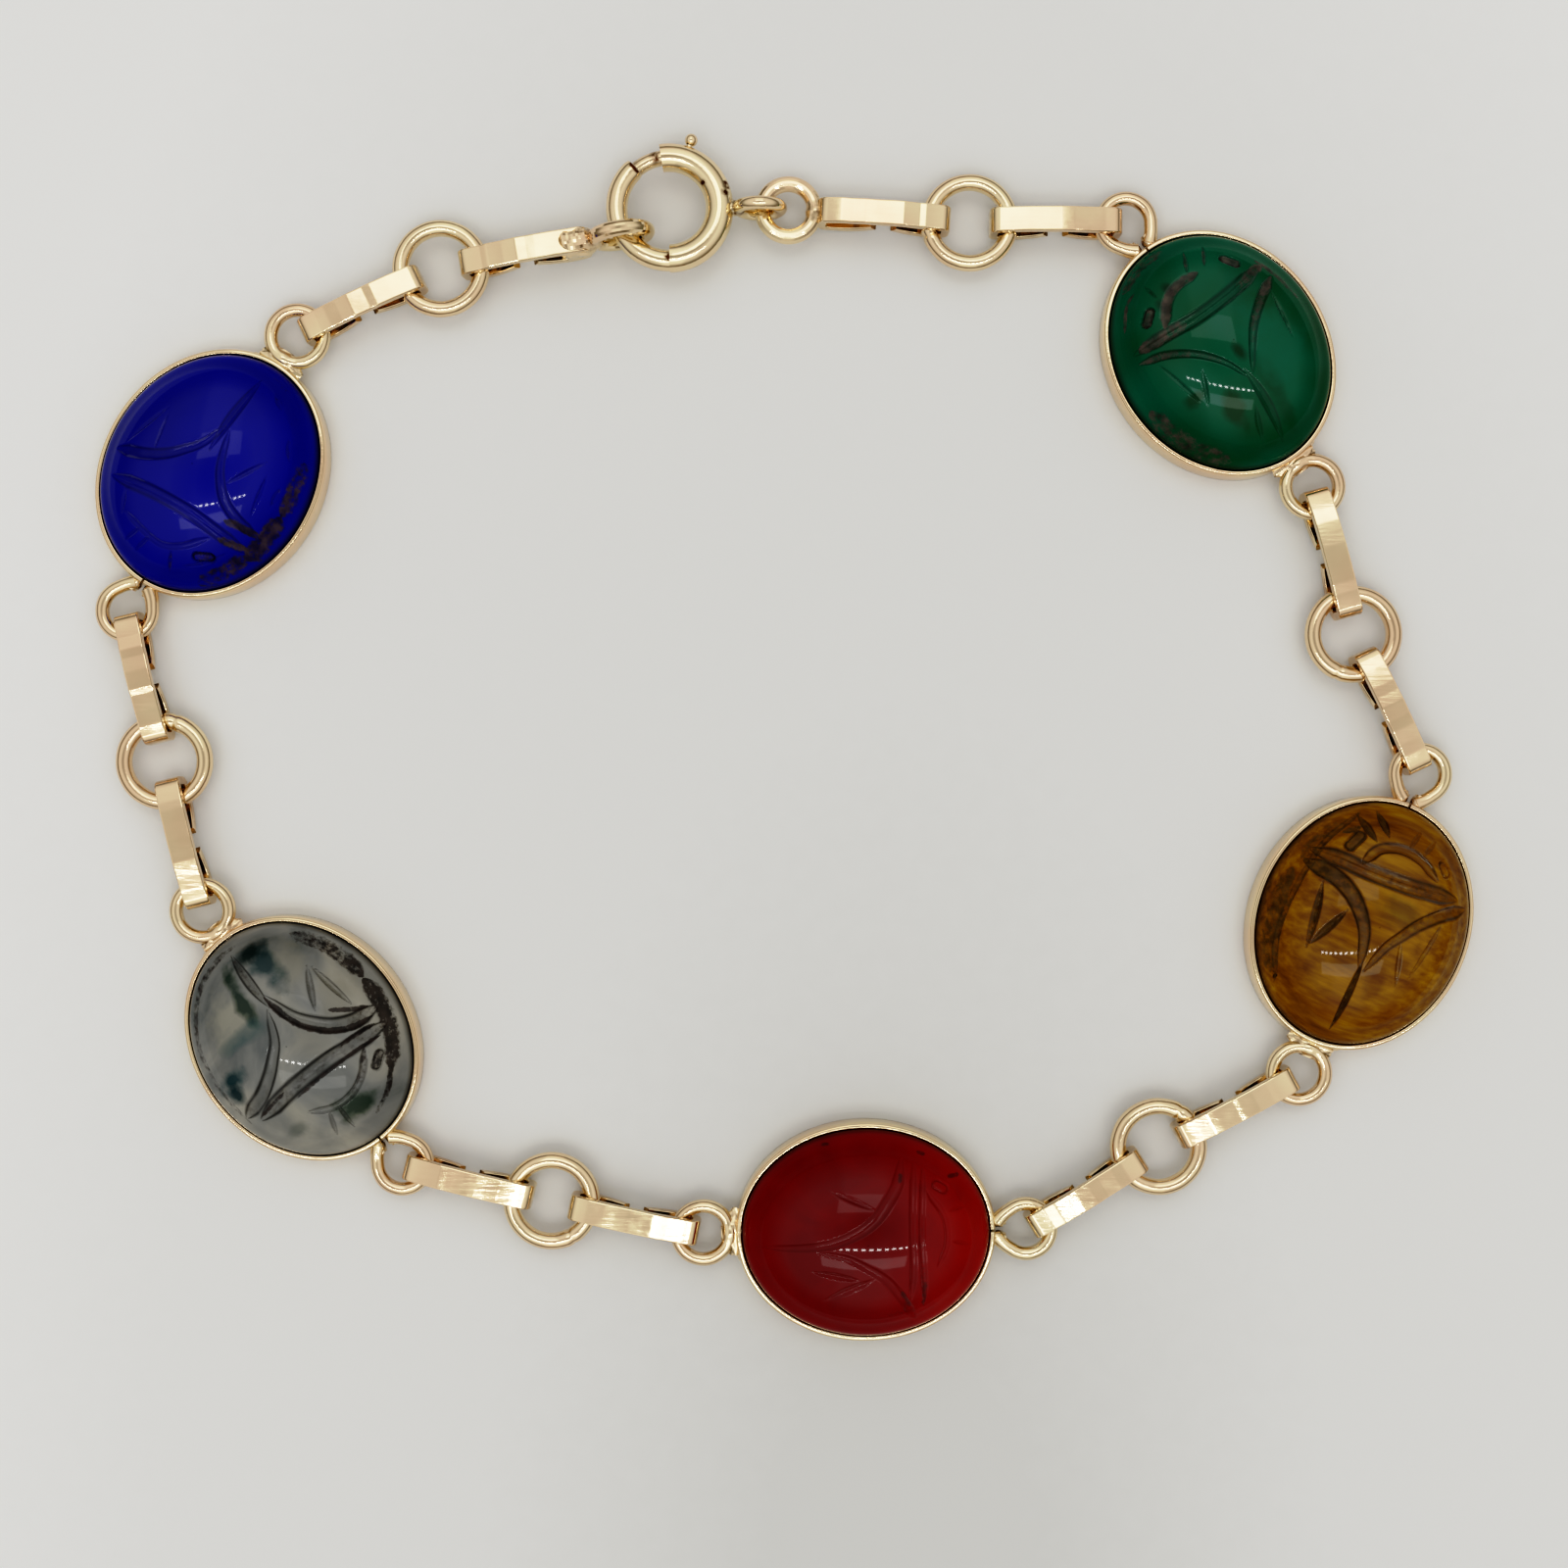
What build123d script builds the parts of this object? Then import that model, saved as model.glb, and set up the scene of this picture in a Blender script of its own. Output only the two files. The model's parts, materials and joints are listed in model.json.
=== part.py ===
from build123d import *
import os
from math import acos, cos, degrees, radians, sin

# Scarab bracelet of gold, laid down as a closed loop. Five oval stones carved as beetles sit in
# open-backed bezels. Each bezel has a soldered round loop at the beetle's tail and a split loop at its
# head. Round rings and folded flat links join them, and a spring ring clasp closes the bracelet.
# Millimetres, +Z up from the surface it lies on. Origin: the middle of the bracelet's base.

# Gap between pieces that touch or hold each other
gap = 0.05

# Stone: an oval dome on a flat back, with its carving cut to one depth
stone_length = 12.2
stone_width = 10.2
stone_height = 4.0
stone_girdle = 0.4
carving_depth = 0.32
broad_groove = 0.42
fine_groove = 0.26

# Bezel: a wall round the stone, its top edge rubbed inwards over it, and a seat under it
bezel_wall = 0.2
wall_height = 1.05
lip_height = 0.32
lip_lean = 0.1
seat_reach = 0.6
seat_thickness = 0.35
seam_width = 0.12

# Loops on the bezel's ends
round_loop_outer = 3.25
split_loop_outer = 3.1
loop_wire = 0.66
loop_bite = 0.06
split_bite = 0.05
neck_width = 0.5

# Round rings between the flat links
ring_outer = 4.75
ring_wire = 0.8

# Flat link: one strip, bowed on top, with its ends folded under to make two eyes
link_length = 6.45
link_width = 1.2
strip = 0.42
link_height = 1.95
link_crown = 0.35
fold_radius = 0.55
tail_radius = 3.0
tail_rise = 0.72
tail_spacing = 0.7

# Rings soldered on the two end links: one lies flat, and the clasp hooks into the upright one
flat_ring_outer = 3.3
flat_ring_bite = 0.2
hook_ring_outer = 3.4
hook_ring_bite = 0.15
end_ring_wire = 0.75

# Spring ring clasp: a tube on its right half and a thinner solid wire on its left half
clasp_radius = 2.45
tube_diameter = 1.35
tube_bore = 0.95
wire_diameter = 1.05
gate_diameter = 0.74
mouth_angle = 99
wire_tip_angle = 131
joint_angle = -89
bore_end_angle = -10
slot_width = 0.46
knob_angle = 72
knob_diameter = 0.62
knob_reach = 3.46
stem_diameter = 0.32
gate_travel = 36
gate_tail = 14
eyelet_outer = 2.7
eyelet_wire = 0.63
eyelet_bite = 0.08
collar_turn = 5

# Heights of the wires above the surface
eye_height = 0.91
loop_height = 0.93

# Chosen places, laid out by hand as the bracelet lies: middle of each bezel and the way its
# beetle's head points, middle of each ring, and where each end link and the clasp lie
bezel_places = [
    ("green", 21.23, 20.98, 125.3),
    ("tiger", 28.13, -6.78, 67.9),
    ("red", 3.98, -21.81, 0.7),
    ("grey", -23.49, -12.40, -51.7),
    ("blue", -27.94, 15.13, -121.8),
]
ring_places = {
    "a": (9.06, 27.40, 0.97),
    "b": (27.81, 7.32, loop_height),
    "c": (18.29, -17.71, loop_height),
    "d": (-11.35, -20.35, loop_height),
    "e": (-30.26, 1.10, loop_height),
    "f": (-16.74, 25.14, 1.05),
}
flat_ring_place = (0.22, 27.96, 1.15)
hook_ring_place = (-7.93, 26.62, 1.70)
clasp_place = (-5.58, 28.00, 1.42)

# Worked out from the sizes above
stone_a = stone_length / 2
stone_b = stone_width / 2
wall_inner_a = stone_a + gap
wall_outer_a = wall_inner_a + bezel_wall
wall_step = wall_outer_a - stone_a
stone_base = seat_thickness + gap / 2
bezel_height = wall_height + lip_height
ring_radius = (ring_outer - ring_wire) / 2
round_loop_radius = (round_loop_outer - loop_wire) / 2
split_loop_radius = (split_loop_outer - loop_wire) / 2
round_loop_offset = wall_outer_a + round_loop_outer / 2 - loop_bite
split_loop_offset = wall_outer_a + split_loop_outer / 2 - split_bite
flat_ring_radius = (flat_ring_outer - end_ring_wire) / 2
hook_ring_radius = (hook_ring_outer - end_ring_wire) / 2
eyelet_radius = (eyelet_outer - eyelet_wire) / 2
link_half = link_length / 2
flat_ring_step = link_half + flat_ring_outer / 2 - flat_ring_bite
hook_ring_step = link_half + hook_ring_outer / 2 - hook_ring_bite


def oval(grow, height=0):
    """An oval that stands a constant step outside the stone's outline."""
    return Pos(0, 0, height) * Ellipse(stone_a + grow, stone_b + grow)


def dome(inset):
    """The uncut stone, or the same form a constant depth inside its surface."""
    half = stone_a - inset
    top = stone_height - inset
    profile = Polyline((0, top), (0, 0), (half, 0), (half, stone_girdle - inset))
    crown = EllipticalCenterArc((0, stone_girdle - inset), half, stone_height - stone_girdle, arc_size=90)
    face = make_face(Plane.XZ * (profile + crown))
    round_stone = revolve(face, Axis.Z)
    return scale(round_stone, by=(1, (stone_b - inset) / half, 1))


def carving_lines():
    """Beetle pattern in shares of the half length and half width: head at +X."""
    def at(x, y):
        return (x * stone_a, y * stone_b)

    broad = [ThreePointArc(at(0.42, 0.86), at(0.36, 0), at(0.42, -0.86))]
    fine = [Line(at(-0.42, 0), at(-0.93, 0))]
    for side in (1, -1):
        broad.append(ThreePointArc(at(0.28, side * 0.84), at(0.05, side * 0.19), at(-0.42, side * 0.03)))
        fine.append(Line(at(-0.36, side * 0.46), at(0.06, side * 0.24)))
        fine.append(Line(at(-0.36, side * 0.50), at(0.12, side * 0.64)))
        fine.append(Line(at(0.66, side * 0.15), at(0.84, side * 0.21)))
        fine.append(Line(at(0.61, side * 0.36), at(0.74, side * 0.48)))
    fine.append(ThreePointArc(at(0.50, 0.36), at(0.64, 0), at(0.50, -0.36)))
    return broad, fine


def carved_stone():
    """Stone with its grooves cut down to an inner dome."""
    broad, fine = carving_lines()
    floor_of_cut = dome(carving_depth)
    stone = dome(0)
    for lines, width in ((broad, broad_groove), (fine, fine_groove)):
        for line in lines:
            blade = extrude(trace(line, width), stone_height + gap)
            stone -= blade - floor_of_cut
    return Pos(0, 0, stone_base) * stone


def wire_ring(radius, wire, arc=360):
    """A ring of round wire lying in the XY plane round the origin."""
    section = Plane.XZ * Pos(radius, 0) * Circle(wire / 2)
    return revolve(section, Axis.Z, arc)


def bezel():
    """Wall, lip and seat, with a round loop at the tail end and a split loop at the head end."""
    outer_wall = extrude(oval(wall_step), wall_height)
    outer_lip = loft([oval(wall_step, wall_height), oval(wall_step - lip_lean, bezel_height)])
    hollow = extrude(oval(gap, seat_thickness), wall_height - seat_thickness)
    lip_mouth = loft([oval(gap, wall_height), oval(gap - lip_lean, bezel_height)])
    open_back = extrude(oval(gap - seat_reach), seat_thickness)
    round_loop = wire_ring(round_loop_radius, loop_wire)
    split_loop = wire_ring(split_loop_radius, loop_wire)
    neck = Plane.YZ * Circle(neck_width / 2)
    neck = extrude(neck, loop_wire / 2 + bezel_wall)
    body = outer_wall + outer_lip
    body += Pos(-round_loop_offset, 0, loop_height) * round_loop
    body += Pos(-wall_outer_a - loop_wire / 2, 0, loop_height) * neck
    body += Pos(split_loop_offset, 0, loop_height) * split_loop
    body -= hollow + lip_mouth + open_back
    seam_start = stone_a - seat_reach
    seam_length = wall_outer_a + loop_wire - seam_start
    seam = Box(seam_length, seam_width, bezel_height, align=(Align.MIN, Align.CENTER, Align.MIN))
    return body - Pos(seam_start, 0, seat_thickness) * seam


def half_strip():
    """Half of the flat link's side view, from its middle out and back to the tail's tip."""
    bow = (link_half ** 2 + link_crown ** 2) / (2 * link_crown)
    end_height = link_height - link_crown
    inner_half = link_half - strip
    inner_end = link_height - bow + ((bow - strip) ** 2 - inner_half ** 2) ** 0.5
    tail_turn = acos((tail_radius - tail_rise) / tail_radius)
    tail_start = tail_radius * sin(tail_turn) + tail_spacing / 2
    outer_tip = (tail_start - tail_radius * sin(tail_turn), tail_rise)
    inner_radius = tail_radius - strip
    inner_tip = (tail_start - inner_radius * sin(tail_turn), tail_radius - inner_radius * cos(tail_turn))
    outline = Line((0, link_height - strip), (0, link_height))
    outline += RadiusArc((0, link_height), (link_half, end_height), bow)
    outline += Polyline((link_half, end_height), (link_half, 0), (tail_start, 0))
    outline += RadiusArc((tail_start, 0), outer_tip, tail_radius)
    outline += Line(outer_tip, inner_tip)
    outline += RadiusArc(inner_tip, (tail_start, strip), -inner_radius)
    outline += Polyline((tail_start, strip), (inner_half, strip), (inner_half, inner_end))
    outline += RadiusArc((inner_half, inner_end), (0, link_height - strip), -(bow - strip))
    face = make_face(outline)
    inside = face.vertices().filter_by(lambda v: abs(v.X - inner_half) < gap / 2)
    face = fillet(inside, fold_radius - strip)
    outside = face.vertices().filter_by(lambda v: v.X > link_half - gap)
    return fillet(outside, fold_radius)


def flat_link():
    """Folded strip along X, with its wires' height at Z = 0 and its middle at the origin."""
    half = half_strip()
    side_view = half + mirror(half, Plane.YZ)
    solid = extrude(Plane.XZ * side_view, link_width / 2, both=True)
    return Pos(0, 0, -eye_height) * solid


def flat_end_link():
    """Flat link with a round ring soldered flat on its left end."""
    ring = wire_ring(flat_ring_radius, end_ring_wire)
    return flat_link() + Pos(-flat_ring_step, 0, 0) * ring


def hook_end_link():
    """Flat link with a round ring soldered upright on its right end, for the clasp to hook into."""
    ring = wire_ring(hook_ring_radius, end_ring_wire)
    return flat_link() + Pos(hook_ring_step, 0, 0) * Rot(90, 0, 0) * ring


def arc_of_wire(radius, diameter, start, end):
    """Round wire bent from one angle to another round the clasp's middle."""
    return Rot(0, 0, start) * wire_ring(radius, diameter, end - start)


def clasp_body():
    """Spring ring: bored tube with a slot for the knob, solid wire half, and its soldered eyelet."""
    wire_radius = clasp_radius + (tube_diameter - wire_diameter) / 2 - gap
    outside = clasp_radius + tube_diameter / 2
    slot_margin = degrees(slot_width / 2 / clasp_radius)
    slot_start = knob_angle - gate_travel - slot_margin
    slot_arc = gate_travel + 2 * slot_margin
    tube = arc_of_wire(clasp_radius, tube_diameter, joint_angle, mouth_angle)
    wire = arc_of_wire(wire_radius, wire_diameter, wire_tip_angle, 360 + joint_angle + collar_turn)
    bore = arc_of_wire(clasp_radius, tube_bore, bore_end_angle, mouth_angle + collar_turn)
    slot_face = Plane.XZ * Pos(outside, 0) * Rectangle(tube_diameter, slot_width)
    slot = Rot(0, 0, slot_start) * revolve(slot_face, Axis.Z, slot_arc)
    eyelet = Rot(90, 0, 0) * wire_ring(eyelet_radius, eyelet_wire)
    solder = Pos(outside, 0, 0) * Sphere(eyelet_wire / 2 + gap)
    body = tube + wire + solder + Pos(outside + eyelet_outer / 2 - eyelet_bite, 0, 0) * eyelet
    return body - bore - slot


def clasp_gate():
    """Sprung wire that slides in the tube and closes the ring, with the stem and knob that draw it."""
    tip_gap = degrees(gap / clasp_radius)
    tongue = arc_of_wire(clasp_radius, gate_diameter, knob_angle - gate_tail, wire_tip_angle - tip_gap)
    stem = extrude(Plane.YZ * Circle(stem_diameter / 2), knob_reach - clasp_radius)
    knob = Pos(knob_reach, 0, 0) * Sphere(knob_diameter / 2)
    draw = Pos(clasp_radius, 0, 0) * stem + knob
    return tongue + Rot(0, 0, knob_angle) * draw


def ring_at(place):
    return Pos(*place) * wire_ring(ring_radius, ring_wire)


def upright_frame(middle, along):
    """Place whose X runs along a direction and whose Z points as nearly up as that allows."""
    along = along.normalized()
    return Plane(origin=middle, x_dir=along, z_dir=Vector(0, 0, 1) - along * along.Z).location


def link_between(first, second):
    """A flat link that holds the near wires of two loops, each given as its middle and radius."""
    (first_middle, first_radius), (second_middle, second_radius) = first, second
    level = second_middle - first_middle
    level = Vector(level.X, level.Y, 0).normalized()
    start = first_middle + level * first_radius
    end = second_middle - level * second_radius
    return upright_frame((start + end) / 2, end - start) * flat_link()


def end_link_from(own_ring, step, loop, solid):
    """An end link laid from its own soldered ring to the loop that its eye holds."""
    loop_middle, loop_radius = loop
    level = loop_middle - own_ring
    held = loop_middle - Vector(level.X, level.Y, 0).normalized() * loop_radius
    along = (held - own_ring).normalized()
    turned = along if step > 0 else along * -1
    return upright_frame(own_ring + along * abs(step), turned) * solid


def bezel_loops(place):
    """Middles and radii of one placed bezel's round loop and split loop."""
    name, x, y, heading = place
    head = Vector(cos(radians(heading)), sin(radians(heading)), 0)
    middle = Vector(x, y, loop_height)
    round_loop = (middle - head * round_loop_offset, round_loop_radius)
    split_loop = (middle + head * split_loop_offset, split_loop_radius)
    return round_loop, split_loop


nodes = {}
one_bezel = bezel()
one_stone = carved_stone()
for name, x, y, heading in bezel_places:
    seat = Pos(x, y, 0) * Rot(0, 0, heading)
    nodes["bezel_" + name] = seat * one_bezel
    nodes["stone_" + name] = seat * one_stone
rings = {}
for name, place in ring_places.items():
    nodes["ring_" + name] = ring_at(place)
    rings[name] = (Vector(*place), ring_radius)

flat_ring_middle = Vector(*flat_ring_place)
hook_ring_middle = Vector(*hook_ring_place)
nodes["link_1"] = end_link_from(flat_ring_middle, flat_ring_step, rings["a"], flat_end_link())
nodes["link_12"] = end_link_from(hook_ring_middle, -hook_ring_step, rings["f"], hook_end_link())
order = list(rings)
for number, (place, before, after) in enumerate(zip(bezel_places, order, order[1:]), 1):
    round_loop, split_loop = bezel_loops(place)
    nodes["link_" + str(2 * number)] = link_between(rings[before], split_loop)
    nodes["link_" + str(2 * number + 1)] = link_between(round_loop, rings[after])
nodes["clasp_body"] = Pos(*clasp_place) * clasp_body()
nodes["clasp_gate"] = Pos(*clasp_place) * clasp_gate()

# The whole bracelet is moved so that the middle of its base is the origin
boxes = [solid.bounding_box() for solid in nodes.values()]
middle_x = (min(box.min.X for box in boxes) + max(box.max.X for box in boxes)) / 2
middle_y = (min(box.min.Y for box in boxes) + max(box.max.Y for box in boxes)) / 2
base_z = min(box.min.Z for box in boxes)
os.makedirs("parts", exist_ok=True)
for name, solid in nodes.items():
    placed = Pos(-middle_x, -middle_y, -base_z) * solid
    export_step(placed.solid(), "parts/" + name + ".step")
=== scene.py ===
import json
import random
from math import acos, atan2, cos, degrees, pi, radians, sin, sqrt

import bmesh
import bpy
import numpy as np
from mathutils import Matrix, Vector
from mathutils.noise import noise as ripple


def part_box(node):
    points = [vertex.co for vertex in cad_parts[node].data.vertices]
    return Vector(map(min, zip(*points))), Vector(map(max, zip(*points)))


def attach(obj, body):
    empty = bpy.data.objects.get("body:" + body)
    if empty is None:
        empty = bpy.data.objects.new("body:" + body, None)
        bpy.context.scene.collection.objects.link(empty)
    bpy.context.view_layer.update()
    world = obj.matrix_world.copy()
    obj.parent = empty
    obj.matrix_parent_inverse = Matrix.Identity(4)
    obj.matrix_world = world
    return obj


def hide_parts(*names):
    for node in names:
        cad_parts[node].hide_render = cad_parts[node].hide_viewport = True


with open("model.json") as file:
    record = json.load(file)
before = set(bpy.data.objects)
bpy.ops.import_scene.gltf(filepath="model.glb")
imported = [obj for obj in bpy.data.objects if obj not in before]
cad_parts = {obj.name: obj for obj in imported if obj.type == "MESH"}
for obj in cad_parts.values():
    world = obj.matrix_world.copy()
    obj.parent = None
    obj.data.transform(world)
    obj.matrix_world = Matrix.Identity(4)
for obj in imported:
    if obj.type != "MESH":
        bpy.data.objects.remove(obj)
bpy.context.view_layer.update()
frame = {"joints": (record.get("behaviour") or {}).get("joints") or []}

# The view and the light: the bracelet lies on a sheet of plain matt card in a light box, seen from
# straight above at arm's length. A row of small lamps and two white panels hang over it, and their
# reflections draw the domes of the stones and the bends of the wire.
mm = 0.001
scene = bpy.context.scene
scene.view_settings.view_transform = "Standard"
scene.view_settings.look = "None"
# The camera's own contrast: shadows go deeper, and highlights up to twice white keep their colour
scene.view_settings.use_curve_mapping = True
contrast = scene.view_settings.curve_mapping
brightest = 2.0
contrast.white_level = (brightest, brightest, brightest)
for light_in, light_out in ((0.03, 0.007), (0.12, 0.084), (0.4, 0.4), (0.72, 0.73), (1.2, 0.93)):
    contrast.curves[3].points.new(light_in / brightest, light_out)
contrast.update()
view_height = 103.0 * mm
view_width = 77.3 * mm
view_middle = Vector((0, -2.22 * mm))
eye = bpy.data.cameras.new("eye")
eye.angle = 2 * atan2(view_width / 2, view_height)
eye.clip_start = 2 * mm
camera = bpy.data.objects.new("camera", eye)
camera.location = (view_middle.x, view_middle.y, view_height)
scene.collection.objects.link(camera)
scene.camera = camera


def paint(code):
    """An sRGB hex colour as the linear colour that a shader takes."""
    parts = [int(code[start:start + 2], 16) / 255 for start in (1, 3, 5)]
    return [p / 12.92 if p <= 0.04045 else ((p + 0.055) / 1.055) ** 2.4 for p in parts] + [1]


def feed(tree, taker, inputs):
    """Gives a node's inputs their values, or links other nodes to them."""
    for name, value in inputs.items():
        if isinstance(value, bpy.types.NodeSocket):
            tree.links.new(value, taker.inputs[name])
        else:
            taker.inputs[name].default_value = value


def node(tree, kind, inputs=None, out=0, stops=(), **settings):
    """Adds one node and returns an output of it. A ramp's stops are (place, hex)."""
    made = tree.nodes.new(kind)
    for name, value in settings.items():
        setattr(made, name, value)
    feed(tree, made, inputs or {})
    for number, (place, code) in enumerate(stops):
        band = made.color_ramp.elements
        element = band[number] if number < len(band) else band.new(place)
        element.position = place
        element.color = paint(code)
    return made.outputs[out] if made.outputs else None


def blank(name):
    """A new material, with its tree, its shader and the object's own coordinates."""
    made = bpy.data.materials.new(name)
    made.use_nodes = True
    tree = made.node_tree
    shader = tree.nodes["Principled BSDF"]
    where = node(tree, "ShaderNodeTexCoord", out="Object")
    return made, tree, shader, where


def in_scene(name, data):
    """A new object that shows some data, linked to the scene."""
    made = bpy.data.objects.new(name, data)
    scene.collection.objects.link(made)
    return made


def area_light(name, middle, width, depth, glow):
    """A flat lamp that faces down, with the same glow over its whole face. Sizes are in metres."""
    lamp = bpy.data.lights.new(name, "AREA")
    lamp.shape = "RECTANGLE"
    lamp.size = width
    lamp.size_y = depth
    lamp.energy = glow * pi * width * depth
    lamp.color = paint("#fffefc")[:3]
    in_scene(name, lamp).location = middle


light_height = 0.6
area_light("front_panel", (0, -0.335, light_height), 0.58, 0.12, 1.4)
area_light("back_panel", (0, 0.22, light_height), 0.34, 0.19, 0.8)
row_lamps = 13
row_half = 0.28
row_depth = -0.192
row_glow = 23
for number in range(row_lamps):
    across = row_half * (2 * number / (row_lamps - 1) - 1)
    area_light("row_lamp_%d" % number, (across, row_depth, light_height), 0.024, 0.014, row_glow)

# The light box's own white walls: darker straight overhead, where its opening is
world = bpy.data.worlds.new("light_box")
scene.world = world
world.use_nodes = True
sky = world.node_tree
way = node(sky, "ShaderNodeTexCoord", out="Generated")
ways = node(sky, "ShaderNodeSeparateXYZ", {"Vector": way}).node.outputs
walls = node(
    sky, "ShaderNodeValToRGB", {"Fac": ways["Z"]},
    stops=[
        (0.0, "#6a645c"), (0.22, "#7d7871"), (0.5, "#c8c6c2"),
        (0.85, "#dedddb"), (0.96, "#bfbdba"), (0.995, "#918f8c"),
    ],
)
# Its side walls stand further off and are greyer
sideways = node(sky, "ShaderNodeMath", {0: ways["X"]}, operation="ABSOLUTE")
near_glow = 1.35
side_glow = 1.08
strength = node(
    sky,
    "ShaderNodeMapRange",
    {"Value": sideways, "From Min": 0.2, "From Max": 0.27, "To Min": near_glow, "To Max": side_glow},
)
feed(sky, sky.nodes["Background"], {"Color": walls, "Strength": strength})

card, tree, shader, where = blank("matt_card")
fibre = node(tree, "ShaderNodeTexNoise", {"Vector": where, "Scale": 900, "Detail": 6})
# The card is painted a little greyer under the camera and towards the near edge: a painted soft shadow of the
# camera
spread = node(tree, "ShaderNodeVectorMath", {0: where, 1: (1, 0.45, 0)}, operation="MULTIPLY")
away = node(
    tree, "ShaderNodeVectorMath", {0: spread, 1: (6 * mm, -20 * mm, 0)}, operation="DISTANCE", out="Value"
)
grey = node(tree, "ShaderNodeMath", {0: fibre, 1: 0.08, 2: -0.04}, operation="MULTIPLY_ADD")
grey = node(tree, "ShaderNodeMath", {0: away, 1: 1 / (50 * mm), 2: grey}, operation="MULTIPLY_ADD")
card_white_and_painted_shadow = node(
    tree, "ShaderNodeValToRGB", {"Fac": grey},
    stops=[(0.14, "#d7d8d7"), (0.42, "#e4e5e4"), (0.74, "#e8e9e8"), (1.0, "#f1f2f1")],
)
feed(tree, shader, {"Base Color": card_white_and_painted_shadow, "Roughness": 0.9, "Specular IOR Level": 0.2})
floor_half = 1.5
floor_mesh = bpy.data.meshes.new("card")
corners = [(-floor_half, -floor_half, 0), (floor_half, -floor_half, 0), (floor_half, floor_half, 0)]
floor_mesh.from_pydata(corners + [(-floor_half, floor_half, 0)], [], [(0, 1, 2, 3)])
floor_mesh.materials.append(card)
floor = in_scene("card", floor_mesh)

# Bezels: each is a strip of 14k gold bent round its stone, with its top edge rubbed over and a narrow
# seat inside. A round loop is soldered on at the beetle's tail. The split loop at its head is wire
# whose two ends are soldered on each side of the strip's open seam.
gold, tree, shader, where = blank("polished_14k_gold")
# Pale yellow gold, a little rosier in places, with worn polish, brown tarnish at its joints and painted brown
# shade in its creases and gaps. A noise's scale is in patches a metre: 260 gives rosy patches about 4 mm
# across, and 1500 wear of 0.7 mm
shade = node(tree, "ShaderNodeTexNoise", {"Vector": where, "Scale": 260, "Detail": 2})
yellow = node(tree, "ShaderNodeValToRGB", {"Fac": shade}, stops=[(0.35, "#ecd0ae"), (0.65, "#f2e0ba")])
# Brown tarnish at the joints, and painted shade in creases and gaps, read from each piece's spots
tarnish_and_shade = node(tree, "ShaderNodeAttribute", attribute_name="tarnish_and_painted_shade", out="Fac")
patch = node(tree, "ShaderNodeTexNoise", {"Vector": where, "Scale": 3200, "Detail": 3})
patch = node(tree, "ShaderNodeMapRange", {"Value": patch, "From Min": 0.35, "From Max": 0.6})
tarnish_and_shade = node(tree, "ShaderNodeMath", {0: tarnish_and_shade, 1: patch}, operation="MULTIPLY", use_clamp=True)
tone = node(
    tree, "ShaderNodeMix", {"Factor": tarnish_and_shade, "A": yellow, "B": paint("#5a3519")}, data_type="RGBA",
    out="Result",
)
wear = node(tree, "ShaderNodeTexNoise", {"Vector": where, "Scale": 1500, "Detail": 5})
rough = node(
    tree,
    "ShaderNodeMapRange",
    {"Value": wear, "From Min": 0.3, "From Max": 0.7, "To Min": 0.06, "To Max": 0.15},
)
rough = node(tree, "ShaderNodeMath", {0: tarnish_and_shade, 1: 0.35, 2: rough}, operation="MULTIPLY_ADD")
# Fine polishing scratches, drawn about 0.15 mm wide so that they show
along_scratches = {"Vector": where, "Rotation": (0, 0, 0.6), "Scale": (1, 9, 4)}
scratch_space = node(tree, "ShaderNodeMapping", along_scratches)
scratch = node(tree, "ShaderNodeTexNoise", {"Vector": scratch_space, "Scale": 700, "Detail": 4})
relief = node(tree, "ShaderNodeBump", {"Height": scratch, "Strength": 0.07, "Distance": 0.05 * mm})
feed(tree, shader, {"Base Color": tone, "Metallic": 1, "Roughness": rough, "Normal": relief})

stone_half_length = 6.1 * mm
stone_half_width = 5.1 * mm
bezel_wall = 0.2 * mm
bezel_play = 0.05 * mm
wall_height = 1.05 * mm
rim_height = 1.37 * mm
rim_lean = 0.1 * mm
seat_reach = 0.6 * mm
seat_top = 0.35 * mm
seam_width = 0.12 * mm
edge_radius = 0.07 * mm
loop_wire = 0.66 * mm
loop_height = 0.93 * mm
round_loop_radius = 1.295 * mm
split_loop_radius = 1.22 * mm
loop_bite = 0.06 * mm
bezel_headings = {"green": 125.3, "tiger": 67.9, "red": 0.7, "grey": -51.7, "blue": -121.8}


def new_tree(name, sizes):
    """A geometry tree with its named sizes. Returns the tree and its input outputs."""
    made = bpy.data.node_groups.new(name, "GeometryNodeTree")
    made.interface.new_socket("Geometry", in_out="INPUT", socket_type="NodeSocketGeometry")
    for size, kind in sizes.items():
        made.interface.new_socket(size, in_out="INPUT", socket_type="NodeSocket" + kind)
    made.interface.new_socket("Geometry", in_out="OUTPUT", socket_type="NodeSocketGeometry")
    return made, node(made, "NodeGroupInput").node.outputs


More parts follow.
